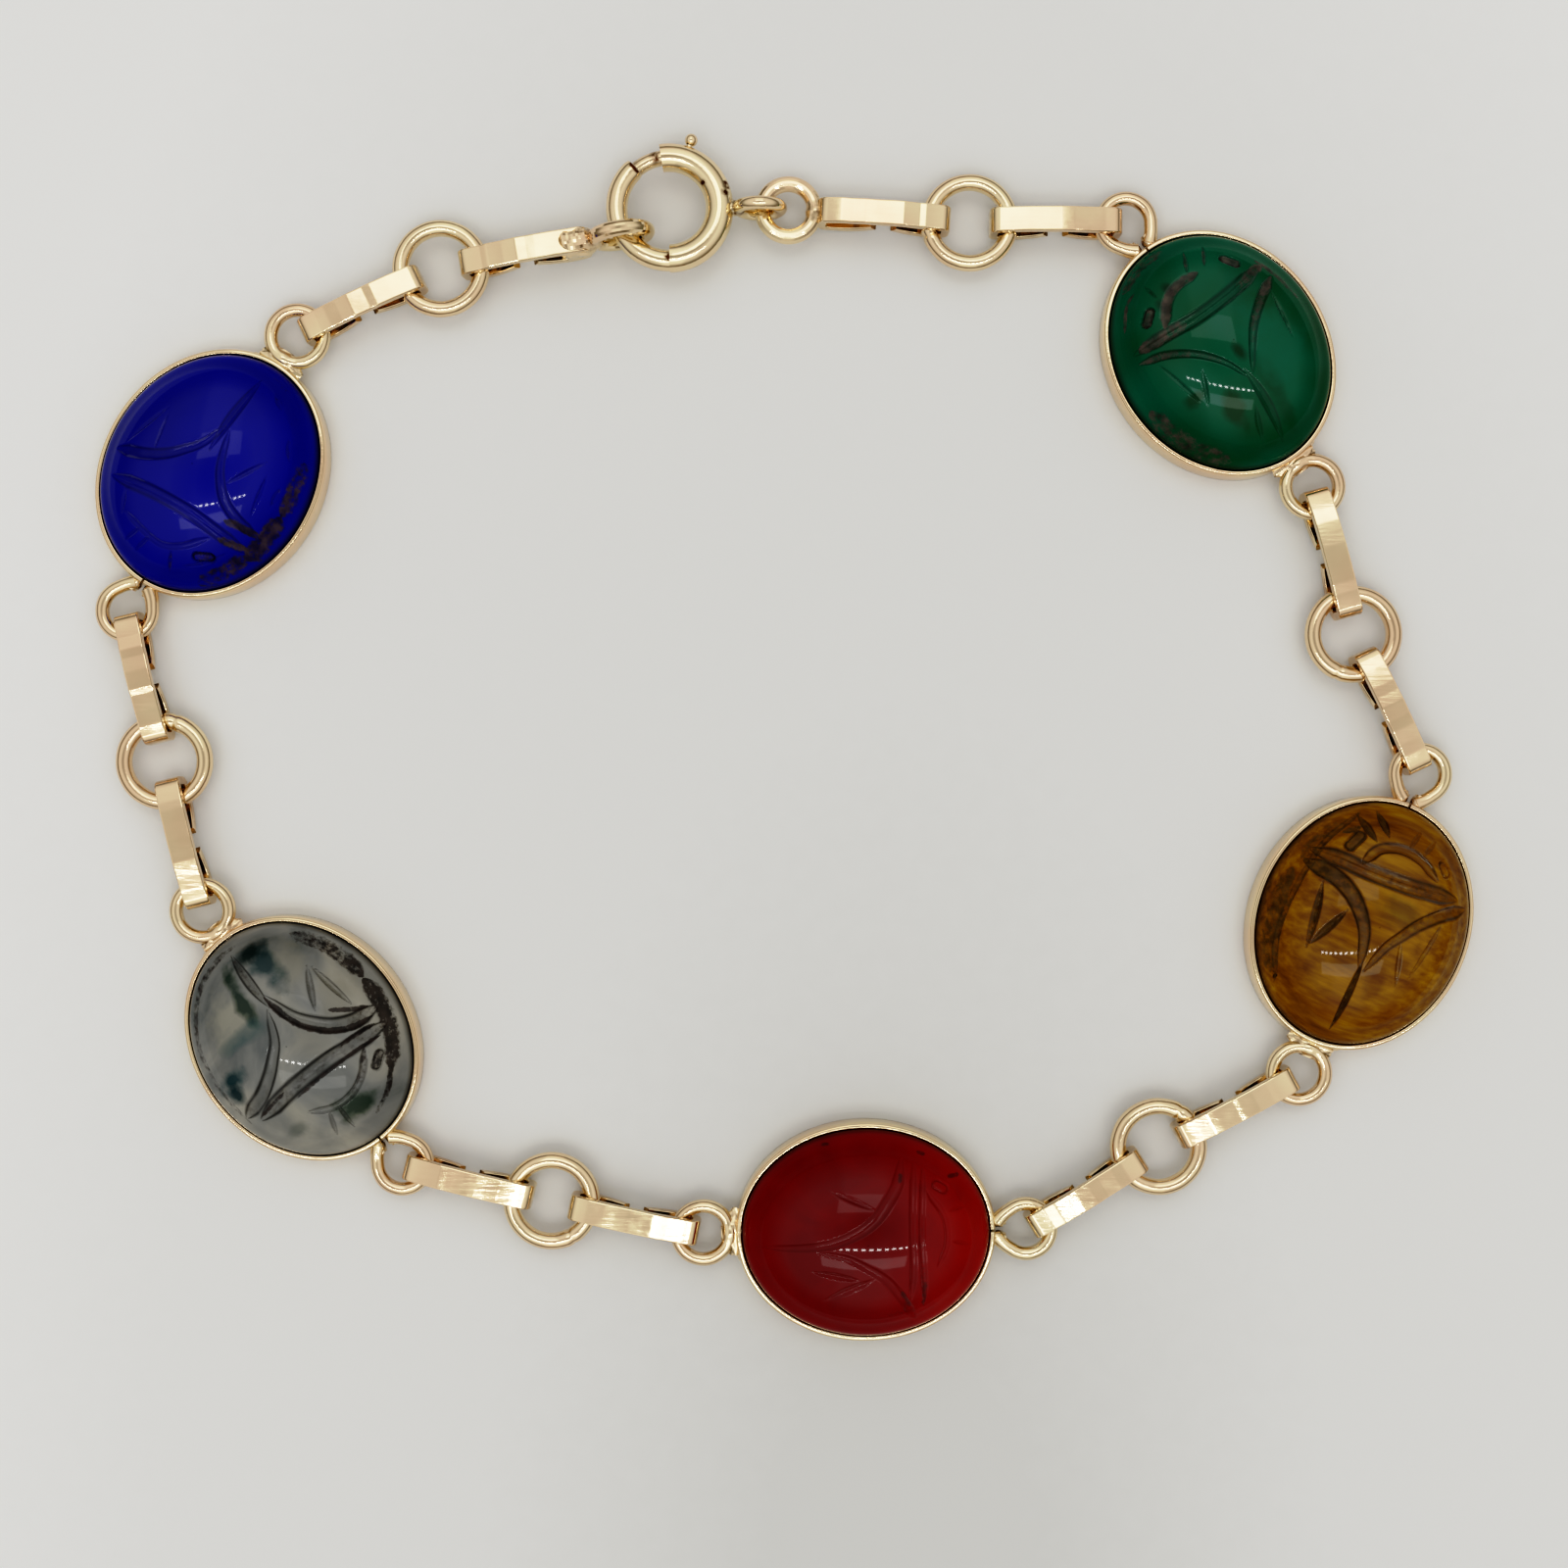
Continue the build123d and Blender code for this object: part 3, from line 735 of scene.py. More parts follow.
def on_the_dome(shares, place, base):
    """Where the camera's lines of sight through places in the bezel's mouth meet the dome."""
    viewer = place.inverted() @ camera.location
    seen = np.array(shares) * [seen_half_length, seen_half_width]
    found = seen
    for _ in range(12):  # the dome's height settles in a few rounds
        ring = (found[:, 0] / stone_half_length) ** 2 + (found[:, 1] / stone_half_width) ** 2
        above = base + girdle + dome_height * np.sqrt(np.clip(1 - ring, 0, 1)) - rim_height
        nearer = (above / (viewer.z - rim_height))[:, None]
        found = seen + (np.array(viewer.xy) - seen) * nearer
    return found


def smooth_line(points, steps=7):
    """Points along a soft curve through a cut's few points."""
    ends = [points[0] * 2 - points[1]] + list(points) + [points[-1] * 2 - points[-2]]
    made = []
    for a, b, c, d in zip(ends, ends[1:], ends[2:], ends[3:]):
        for step in range(steps):
            t = step / steps
            cubic = 3 * b - a - 3 * c + d
            made.append(0.5 * (2 * b + (c - a) * t + (2 * a - 5 * b + 4 * c - d) * t * t + cubic * t ** 3))
    made.append(points[-1])
    return np.array(made)


def cut_taper(shape, s):
    """The share of a cut's full width and depth at a share of its length."""
    if shape == "leaf":
        return np.sin(pi * np.clip(s, 0.03, 0.97)) ** 0.7
    if shape == "wing":
        return np.clip(s / 0.12, 0, 1) ** 0.6 * (1 - 0.66 * s ** 2.2) * np.clip((1 - s) / 0.12, 0, 1) ** 0.6
    if shape == "eye":
        return np.ones_like(s)
    return np.clip(np.minimum(s, 1 - s) / 0.14, 0, 1) ** 0.6


def cut_profile(shape, across):
    """A cut's share of its depth, from its middle at 0 to its edge at 1."""
    if shape == "leaf":
        return np.clip(1 - across, 0, 1)
    if shape == "twin":
        return np.clip(1 - across ** 2, 0, 1) * (1 - 0.5 * np.exp(-(across / 0.24) ** 2))
    if shape == "eye":
        return np.clip(1 - ((across - 1) / 0.36) ** 2, 0, 1)
    return np.clip(1 - across ** 2, 0, 1)


def carve(flat, cuts, place, base):
    """For places on the stone: depth under the dome, then shares of paste, painted shade on the cuts' edges,
    painted shade and dirt at the rim, and worn skirt.
    """
    depth = np.zeros(len(flat))
    paste = np.zeros(len(flat))
    edge = np.zeros(len(flat))
    for shape, width, deep, paste_start, paste_end, shares in cuts:
        line = smooth_line(list(on_the_dome(shares, place, base)))
        if shape in ("twin", "wing", "groove"):
            # These cuts run out into the border
            first = line[0] - line[1]
            line[0] += first * cut_run_out / np.linalg.norm(first)
        lengths = np.concatenate([[0], np.cumsum(np.linalg.norm(np.diff(line, axis=0), axis=1))])
        nearest = np.full(len(flat), np.inf)
        along = np.zeros(len(flat))
        for number in range(len(line) - 1):
            step = line[number + 1] - line[number]
            share = np.clip((flat - line[number]) @ step / max(step @ step, 1e-12), 0, 1)
            away = np.linalg.norm(flat - line[number] - share[:, None] * step, axis=1)
            closer = away < nearest
            nearest = np.where(closer, away, nearest)
            here = lengths[number] + share * (lengths[number + 1] - lengths[number])
            along = np.where(closer, here / lengths[-1], along)
        taper = cut_taper(shape, along)
        chatter = 1 + 0.03 * np.sin(along * lengths[-1] / chatter_length)
        across = nearest / np.maximum(width / 2 * mm * taper, 1e-7)
        hollow = cut_profile(shape, across)
        depth = np.maximum(depth, deep * mm * taper * chatter * hollow)
        amount = paste_start + (paste_end - paste_start) * along
        reach = np.clip((1.35 if shape == "eye" else 1) - across, 0, 0.5) * 2
        paste = np.maximum(paste, amount * reach ** 0.8)
        if deep > 0:
            # Painted shade along each side of the cut
            line_of_edge = np.clip(1 - np.abs(across - 0.8) / 0.32, 0, 1)
            edge = np.maximum(edge, line_of_edge * min(1, deep / 0.18))
    ring = np.hypot(flat[:, 0] / stone_half_length, flat[:, 1] / stone_half_width)
    from_edge = (1 - ring) * np.hypot(flat[:, 0], flat[:, 1]) / np.maximum(ring, 1e-6)
    across = np.abs(from_edge - border_middle) / border_half
    depth = np.maximum(depth, border_depth * np.clip(1 - across ** 2, 0, 1) ** 1.5)
    # Painted shade, with some dirt, round the stone's edge under the bezel's lip
    rim = np.clip(1.2 - from_edge / shadow_reach, 0, 1)
    skirt = np.clip((skirt_end - from_edge) / (skirt_end - skirt_start), 0, 1)
    return depth, paste, edge, rim, skirt


def carved_stone(colour, cuts, place, low):
    """The stone's mesh: a square grid laid over the dome, then its girdle and its flat back."""
    count = stone_grid + 1
    u, v = np.meshgrid(np.linspace(-1, 1, count), np.linspace(-1, 1, count), indexing="ij")
    wide = np.abs(u) >= np.abs(v)
    reach = np.where(wide, np.abs(u), np.abs(v))
    turn = np.where(
        wide,
        pi / 4 * np.divide(v, u, out=np.zeros_like(u), where=u != 0) + np.where(u < 0, pi, 0),
        pi / 2 - pi / 4 * np.divide(u, v, out=np.zeros_like(u), where=v != 0) + np.where(v < 0, pi, 0),
    )
    ring = np.minimum(reach * (dome_spread - (dome_spread - 1) * reach ** 2), 1)
    x = (stone_half_length * ring * np.cos(turn)).ravel()
    y = (stone_half_width * ring * np.sin(turn)).ravel()
    depth, paste, edge, rim, skirt = carve(np.stack([x, y], 1), cuts, place, low)
    ring = ring.ravel()
    rise = np.sqrt(np.clip(1 - ring ** 2, 0, 1))
    # The cuts go in square to the dome
    slope_x = dome_height * x / stone_half_length ** 2
    slope_y = dome_height * y / stone_half_width ** 2
    square = np.stack([slope_x, slope_y, rise], 1)
    square /= np.maximum(np.linalg.norm(square, axis=1), 1e-9)[:, None]
    depth *= np.clip((1 - ring) / 0.02, 0, 1)
    tops = np.stack([x, y, low + girdle + dome_height * rise], 1) - square * depth[:, None]
    rows = np.arange(count * count).reshape(count, count)
    quads = np.stack([rows[:-1, :-1], rows[1:, :-1], rows[1:, 1:], rows[:-1, 1:]], -1).reshape(-1, 4)
    rim_row = np.concatenate([rows[0, :-1], rows[:-1, -1], rows[-1, :0:-1], rows[:0:-1, 0]])
    points = [tops]
    start = count * count
    faces = quads.tolist()
    last = rim_row
    for inset, height in ((0, low + 0.08 * mm), (0.06 * mm, low)):
        shrink = 1 - inset / stone_half_width
        points.append(tops[rim_row] * [shrink, shrink, 0] + [0, 0, height])
        now = np.arange(start, start + len(rim_row))
        faces += np.stack([last, np.roll(last, -1), np.roll(now, -1), now], -1).tolist()
        last = now
        start += len(rim_row)
    points.append(np.array([[0, 0, low]]))
    faces += [(int(a), int(b), start) for a, b in zip(last, np.roll(last, -1))]
    made = bpy.data.meshes.new("stone_" + colour)
    made.from_pydata(np.concatenate(points).tolist(), [], faces)
    rest = np.zeros(start + 1 - count * count)
    shares = {"paste": paste, "edge": edge, "hollow": depth / (0.2 * mm), "rim": rim, "skirt": skirt}
    for name, values in shares.items():
        made.attributes.new(name, "FLOAT", "POINT").data.foreach_set("value", np.concatenate([values, rest]))
    return made


def gem_material(name, colour_of, paste_codes, cover, shade_in_cuts, shade_at_edges):
    """A polished stone: its own colour, with painted shade in the cuts, on their edges and under the bezel's
    lip, duller in the cuts, and with paste in flecks.
    """
    made, tree, shader, where = blank(name)
    body = colour_of(tree, where)
    share = {}
    for attribute in ("paste", "edge", "hollow", "rim", "skirt"):
        share[attribute] = node(tree, "ShaderNodeAttribute", attribute_name=attribute, out="Fac")
    fleck = node(tree, "ShaderNodeTexNoise", {"Vector": where, "Scale": 3000, "Detail": 5, "Roughness": 0.7})
    # Paste comes away in patches: what is left of it is least where there was little
    limit = node(tree, "ShaderNodeMath", {0: share["paste"], 1: -0.44, 2: 0.75}, operation="MULTIPLY_ADD")
    lot = node(tree, "ShaderNodeMath", {0: fleck, 1: limit}, operation="SUBTRACT")
    lot = node(
        tree, "ShaderNodeMapRange", {"Value": lot, "From Min": -0.11, "From Max": 0.13, "To Max": cover}
    )
    some = node(tree, "ShaderNodeMath", {0: share["paste"], 1: 2.5}, operation="MULTIPLY", use_clamp=True)
    lot = node(tree, "ShaderNodeMath", {0: lot, 1: some}, operation="MULTIPLY")
    # Painted shade: the cuts, their edges and the rim under the lip go towards near black
    painted_shade = node(tree, "ShaderNodeMath", {0: share["edge"], 1: shade_at_edges}, operation="MULTIPLY")
    painted_shade = node(tree, "ShaderNodeMath", {0: share["hollow"], 1: shade_in_cuts, 2: painted_shade}, operation="MULTIPLY_ADD")
    painted_shade = node(
        tree, "ShaderNodeMath", {0: share["rim"], 1: 0.9, 2: painted_shade}, operation="MULTIPLY_ADD", use_clamp=True
    )
    inner = node(
        tree, "ShaderNodeMix", {"Factor": painted_shade, "A": body, "B": paint("#060303")}, data_type="RGBA",
        out="Result",
    )
    soil = node(tree, "ShaderNodeTexNoise", {"Vector": where, "Scale": 1700, "Detail": 3})
    soil = node(
        tree, "ShaderNodeValToRGB", {"Fac": soil}, stops=[(0.36, paste_codes[0]), (0.64, paste_codes[1])]
    )
    tone = node(tree, "ShaderNodeMix", {"Factor": lot, "A": inner, "B": soil}, data_type="RGBA", out="Result")
    matt = node(tree, "ShaderNodeMapRange", {"Value": share["hollow"], "To Min": 0.05, "To Max": 0.2})
    matt = node(tree, "ShaderNodeMath", {0: lot, 1: 0.4, 2: matt}, operation="MULTIPLY_ADD")
    grain = node(tree, "ShaderNodeBump", {"Height": fleck, "Strength": lot, "Distance": 0.03 * mm})
    # The border was never polished, so it hardly shines
    shine = node(tree, "ShaderNodeMapRange", {"Value": share["skirt"], "To Min": 0.34, "To Max": 0.05})
    feed(
        tree, shader,
        {"Base Color": tone, "Roughness": matt, "Normal": grain, "IOR": 1.54, "Specular IOR Level": shine},
    )
    return made


def turned_space(tree, where, colour):
    """Coordinates on one stone, with its head at +X."""
    middle = stone_places[colour][0].translation
    moved = node(tree, "ShaderNodeVectorMath", {0: where, 1: (middle.x, middle.y, 0)}, operation="SUBTRACT")
    turn = (0, 0, -radians(bezel_headings[colour]))
    return node(tree, "ShaderNodeMapping", {"Vector": moved, "Rotation": turn})


def clouded(tree, tone, own, blots):
    """Adds soft patches to a stone: (x, y, reach across and up in mm, how strong, colour)."""
    ragged = node(tree, "ShaderNodeTexNoise", {"Vector": own, "Scale": 750, "Detail": 6})
    for x, y, wide, tall, strong, code in blots:
        moved = node(tree, "ShaderNodeVectorMath", {0: own, 1: (x * mm, y * mm, 0)}, operation="SUBTRACT")
        shares = (1 / (wide * mm), 1 / (tall * mm), 0)
        moved = node(tree, "ShaderNodeVectorMath", {0: moved, 1: shares}, operation="MULTIPLY")
        away = node(tree, "ShaderNodeVectorMath", {0: moved}, operation="LENGTH", out="Value")
        away = node(tree, "ShaderNodeMath", {0: ragged, 1: -2.4, 2: away}, operation="MULTIPLY_ADD")
        share = node(
            tree,
            "ShaderNodeMapRange",
            {"Value": away, "From Min": -0.8, "From Max": -0.1, "To Min": strong, "To Max": 0},
        )
        tone = node(
            tree, "ShaderNodeMix", {"Factor": share, "A": tone, "B": paint(code)}, data_type="RGBA",
            out="Result",
        )
    return tone


def ultramarine(tree, where):
    """Blue glassy stone, dyed evenly, a little lighter in soft clouds."""
    cloud = node(tree, "ShaderNodeTexNoise", {"Vector": where, "Scale": 160, "Detail": 2})
    return node(tree, "ShaderNodeValToRGB", {"Fac": cloud}, stops=[(0.3, "#020585"), (0.7, "#050998")])


def deep_green(tree, where):
    """Green onyx with soft clouds inside and a few darker olive windows at the tail."""
    own = turned_space(tree, where, "green")
    cloud = node(tree, "ShaderNodeTexNoise", {"Vector": where, "Scale": 200, "Detail": 2})
    tone = node(
        tree,
        "ShaderNodeValToRGB",
        {"Fac": cloud},
        stops=[(0.32, "#004e2c"), (0.5, "#005b43"), (0.7, "#006753")],
    )
    blots = (
        (-2.7, 1.6, 1.0, 0.55, 0.8, "#063a0c"), (-1.2, 2.9, 0.35, 0.6, 0.7, "#073a10"),
        (-0.6, 0.1, 0.5, 0.3, 0.8, "#05330f"), (-3.0, -0.4, 1.9, 0.5, 0.5, "#00401c"),
        (3.3, 1.6, 0.5, 0.35, 0.6, "#042a10"), (3.8, 0.9, 0.4, 0.3, 0.7, "#03230e"),
        (-1.2, -1.7, 2.2, 1.6, 0.55, "#006451"), (1.9, -1.4, 1.2, 1.6, 0.45, "#005c49"),
    )
    return clouded(tree, tone, own, blots)


def carnelian(tree, where):
    """Dark carnelian, redder and clearer at the head and the rim where light comes through it."""
    own = turned_space(tree, where, "red")
    along = node(tree, "ShaderNodeSeparateXYZ", {"Vector": own}, out="X")
    centre = (-0.8 * mm, -0.3 * mm, 3 * mm)
    away = node(tree, "ShaderNodeVectorMath", {0: own, 1: centre}, out="Value", operation="DISTANCE")
    outer = node(
        tree, "ShaderNodeMapRange",
        {"Value": away, "From Min": 2.6 * mm, "From Max": 7.5 * mm, "To Max": 0.42},
    )
    share = node(
        tree, "ShaderNodeMapRange", {"Value": along, "From Min": 0, "From Max": 6 * mm, "To Max": 0.34}
    )
    share = node(tree, "ShaderNodeMath", {0: share, 1: outer}, operation="ADD")
    cloud = node(tree, "ShaderNodeTexNoise", {"Vector": where, "Scale": 420, "Detail": 4, "Distortion": 0.8})
    share = node(tree, "ShaderNodeMath", {0: cloud, 1: 0.5, 2: share}, operation="MULTIPLY_ADD")
    return node(
        tree, "ShaderNodeValToRGB", {"Fac": share},
        stops=[(0.2, "#6a0007"), (0.45, "#7c0005"), (0.7, "#8e0503"), (0.95, "#9c1505")],
    )


def tiger_bands(tree, where):
    """Tiger eye: silky golden fibres that run across the beetle, with redder brown at its tail."""
    own = turned_space(tree, where, "tiger")
    slant = (0, 0, radians(8))
    across = node(tree, "ShaderNodeMapping", {"Vector": own, "Rotation": slant, "Scale": (1, 0.09, 1)})
    fibre = node(
        tree, "ShaderNodeTexNoise", {"Vector": across, "Scale": 3600, "Detail": 3, "Distortion": 0.2}
    )
    wide = node(tree, "ShaderNodeMapping", {"Vector": own, "Rotation": slant, "Scale": (1, 0.3, 1)})
    band = node(tree, "ShaderNodeTexNoise", {"Vector": wide, "Scale": 600, "Detail": 3})
    share = node(tree, "ShaderNodeMath", {0: fibre, 1: 0.45}, operation="MULTIPLY")
    share = node(tree, "ShaderNodeMath", {0: band, 1: 0.55, 2: share}, operation="MULTIPLY_ADD")
    tone = node(
        tree, "ShaderNodeValToRGB", {"Fac": share},
        stops=[(0.34, "#664000"), (0.46, "#805600"), (0.56, "#936704"), (0.68, "#a87e10")],
    )
    blots = (
        (-3.4, -2.2, 1.6, 1.6, 0.28, "#5e2a02"), (-4.4, 0.4, 0.9, 0.7, 0.3, "#642d03"),
        (-2.6, -0.9, 1.2, 0.5, 0.35, "#4e2803"), (1.1, -0.6, 0.8, 1.2, 0.5, "#4c3a08"),
    )
    return clouded(tree, tone, own, blots)


def moss_agate(tree, where):
    """Grey see-through agate with milky clouds and a few blue-green mossy clumps."""
    own = turned_space(tree, where, "grey")
    cloud = node(tree, "ShaderNodeTexNoise", {"Vector": own, "Scale": 230, "Detail": 4, "Distortion": 0.8})
    tone = node(
        tree, "ShaderNodeValToRGB", {"Fac": cloud},
        stops=[(0.3, "#5c6161"), (0.5, "#858682"), (0.7, "#a8a59a")],
    )
    blots = (
        (-2.8, -1.6, 1.5, 1.6, 0.75, "#99978a"), (-0.4, 3.2, 1.5, 0.9, 0.6, "#908d80"),
        (-3.2, 2.3, 1.3, 0.8, 0.6, "#8f8c7e"), (0.6, 1.2, 0.9, 1.2, 0.5, "#85847c"),
        (3.0, -1.6, 1.2, 1.4, 0.35, "#8b8a7f"), (-1.3, 1.2, 1.5, 0.6, 0.5, "#8b8a80"),
        (-3.7, 1.25, 1.5, 0.75, 0.85, "#16383c"), (-4.7, 1.0, 0.6, 0.9, 0.9, "#0d2421"),
        (-3.2, -0.45, 1.4, 0.45, 0.9, "#122e22"), (-0.4, -3.2, 0.6, 1.1, 0.9, "#143a40"),
        (0.2, -3.6, 0.6, 0.6, 0.9, "#113238"), (-1.6, -1.5, 0.5, 1.4, 0.55, "#2c4a4e"),
        (4.2, 0.6, 0.7, 1.1, 0.85, "#14301c"), (3.4, -2.2, 0.4, 0.8, 0.35, "#2c3f34"),
    )
    return clouded(tree, tone, own, blots)


# Each stone: its name, cuts and colour, its paste's two browns and how much they cover, and how much painted
# shade its cuts and their edges get
gem_finishes = {
    "green": ("green_onyx", green_cuts, deep_green, ("#382d2b", "#64524e"), 0.76, 0.26, 0.45),
    "tiger": ("tiger_eye", tiger_cuts, tiger_bands, ("#2e2411", "#5a4a2c"), 0.68, 0.26, 0.75),
    "red": ("carnelian", red_cuts, carnelian, ("#2a0c0c", "#401c1c"), 0.6, 0.12, 0.16),
    "grey": ("moss_agate", grey_cuts, moss_agate, ("#161112", "#382e2a"), 0.88, 0.26, 0.85),
    "blue": ("blue_glass_stone", blue_cuts, ultramarine, ("#2c241c", "#594b35"), 0.80, 0.40, 0.55),
}
for colour, (name, cuts, *finish) in gem_finishes.items():
    turned, low = stone_places[colour]
    mesh = carved_stone(colour, cuts, turned, low)
    mesh.transform(turned)
    shade_smooth(mesh, 50)
    mesh.materials.append(gem_material(name, *finish))
    made = in_scene("carved_" + colour, mesh)
    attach(made, "bracelet")
    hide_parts("stone_" + colour)

# Round rings: drawn gold wire wound on a rod, sawn into rings and closed with solder. Each joint shows as
# a fine line in a slight swelling.
ring_radius = 1.975 * mm
ring_wire = 0.8 * mm
ring_joints = {"a": 197, "b": 248, "c": 60, "d": 300, "e": 75, "f": 20}
rings = {}
ring_sizes = {"Wire": ring_wire, "Sides": 20, "Waver": 0.05 * mm, "Material": gold}
for letter, joint in ring_joints.items():
    low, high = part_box("ring_" + letter)
    middle = (low + high) / 2
    rings[letter] = middle
    turned = Matrix.Translation(middle) @ Matrix.Rotation(radians(joint), 4, "Z")
    joint_point = turned @ Vector((ring_radius, 0, 0))
    parts = [(grown(bent_wire, ring_sizes, ring_path(ring_radius, 0.12, 0.05)), turned)]
    spots = [(joint_point, 0.16 * mm, 0.9)]
    piece("gold_ring_" + letter, parts, "bracelet", "ring_" + letter, gold, spots)

# Flat links: strips of gold bowed lengthwise, with their ends folded under into two eyes. The tails rise
# to the middle. The two end links also carry a soldered ring of thinner wire.
link_half = 3.225 * mm
link_width = 1.2 * mm
strip = 0.42 * mm
link_height = 1.95 * mm
link_crown = 0.35 * mm
fold_radius = 0.55 * mm
tail_radius = 3.0 * mm
tail_rise = 0.72 * mm
tail_spacing = 0.7 * mm
tail_steps = 8
flats = 9
fold_steps = 14
eye_height = 0.91 * mm
end_wire = 0.75 * mm
flat_ring_radius = 1.275 * mm
flat_ring_bite = 0.2 * mm
hook_ring_radius = 1.325 * mm
hook_ring_bite = 0.15 * mm
flat_ring_place = Vector((0.217, 25.74, 1.15)) * mm
hook_ring_place = Vector((-7.933, 24.40, 1.70)) * mm

folded_strip, sizes = new_tree(
    "folded_strip",
    {"Width": "Float", "Thickness": "Float", "Edge": "Float", "Waver": "Float", "Material": "Material"},
)
line = node(folded_strip, "GeometryNodeMeshToCurve", {"Mesh": sizes["Geometry"]})
upright = node(folded_strip, "GeometryNodeSetCurveNormal", {"Curve": line, "Normal": (0, 1, 0)}, mode="FREE")
flat = node(
    folded_strip,
    "GeometryNodeCurvePrimitiveQuadrilateral",
    {"Width": sizes["Width"], "Height": sizes["Thickness"]},
)
soft = node(
    folded_strip, "GeometryNodeFilletCurve", {"Curve": flat, "Count": 3, "Radius": sizes["Edge"]}, mode="POLY"
)
swept = node(
    folded_strip, "GeometryNodeCurveToMesh", {"Curve": upright, "Profile Curve": soft, "Fill Caps": True}
)
finish_tree(folded_strip, swept, sizes)


def strip_path(name):
    """The middle line of the folded strip, from tail to tail. Its top is a row of slight flats."""
    chance = random.Random(name)
    bow = (link_half ** 2 + link_crown ** 2) / (2 * link_crown)
    bow_z = link_height - bow
    bow_middle = bow - strip / 2
    fold = fold_radius - strip / 2
    fold_x = link_half - fold_radius
    tail_turn = acos((tail_radius - tail_rise) / tail_radius)
    tail_start = tail_radius * sin(tail_turn) + tail_spacing / 2
    tail_middle = tail_radius - strip / 2
    top_z = bow_z + sqrt((bow_middle - fold) ** 2 - fold_x ** 2)
    top_turn = atan2(top_z - bow_z, fold_x)
    points = []
    for step in range(tail_steps + 1):
        angle = tail_turn * (1 - step / tail_steps)
        points.append((tail_start - tail_middle * sin(angle), tail_radius - tail_middle * cos(angle)))
    for step in range(fold_steps + 1):
        angle = -pi / 2 + pi / 2 * step / fold_steps
        points.append((fold_x + fold * cos(angle), fold_radius + fold * sin(angle)))
    for step in range(fold_steps + 1):
        angle = top_turn * step / fold_steps
        points.append((fold_x + fold * cos(angle), top_z + fold * sin(angle)))
    far = [(-x, z) for x, z in points[::-1]]
    top = [points[-1]]
    for step in range(1, flats):
        angle = top_turn + (pi - 2 * top_turn) * (step + chance.uniform(-0.3, 0.3)) / flats
        reach = bow_middle + chance.uniform(-0.05, 0.03) * mm
        top.append((reach * cos(angle), bow_z + reach * sin(angle)))
    bends = rounded(top + [far[0]], edge_radius)[4:-4]
    return path_mesh([(x, 0, z - eye_height) for x, z in points + [tuple(bend) for bend in bends] + far])


def frame_along(middle, along):
    """A place whose X runs along a direction and whose Z points as nearly up as that allows."""
    x = along.normalized()
    z = (Vector((0, 0, 1)) - x * x.z).normalized()
    y = z.cross(x)
    turned = Matrix((x, y, z)).transposed().to_4x4()
    return Matrix.Translation(middle) @ turned


def level(vector):
    """A direction laid flat on the table."""
    return Vector((vector.x, vector.y, 0)).normalized()


strip_sizes = {
    "Width": link_width,
    "Thickness": strip,
    "Edge": edge_radius,
    "Waver": 0.03 * mm,
    "Material": gold,
}
end_wire_sizes = {"Wire": end_wire, "Sides": 18, "Waver": 0.02 * mm, "Material": gold}
letters = list(ring_joints)
link_places = {}
for number, colour in enumerate(bezel_headings):
    tail_loop, head_loop = loops[colour]
    before, after = rings[letters[number]], rings[letters[number + 1]]
    pairs = (
        (before, ring_radius, head_loop, split_loop_radius),
        (tail_loop, round_loop_radius, after, ring_radius),
    )
    for side, (first, first_radius, second, second_radius) in enumerate(pairs):
        way = level(second - first)
        start = first + way * first_radius
        end = second - way * second_radius
        link_places["link_%d" % (2 * number + 2 + side)] = frame_along((start + end) / 2, end - start)
# Painted shade inside the eyes, on the tails under the strip, and outside the folds: (x, z, reach, strength)
# in mm
creases = [
    (side * x, z, reach, strength)
    for x, z, reach, strength in ((2.7, -0.1, 0.5, 0.6), (1.3, -0.5, 0.7, 0.25), (3.35, 0.1, 0.5, 1.1))
    for side in (-1, 1)
]
# Bends sharper than this stay crisp, so that the flats show
flat_angle = 9
for name, place in link_places.items():
    spots = [(place @ Vector((x * mm, 0, z * mm)), reach * mm, strength) for x, z, reach, strength in creases]
    parts = [(grown(folded_strip, strip_sizes, strip_path(name)), place)]
    piece("gold_" + name, parts, "bracelet", name, gold, spots, flat_angle)

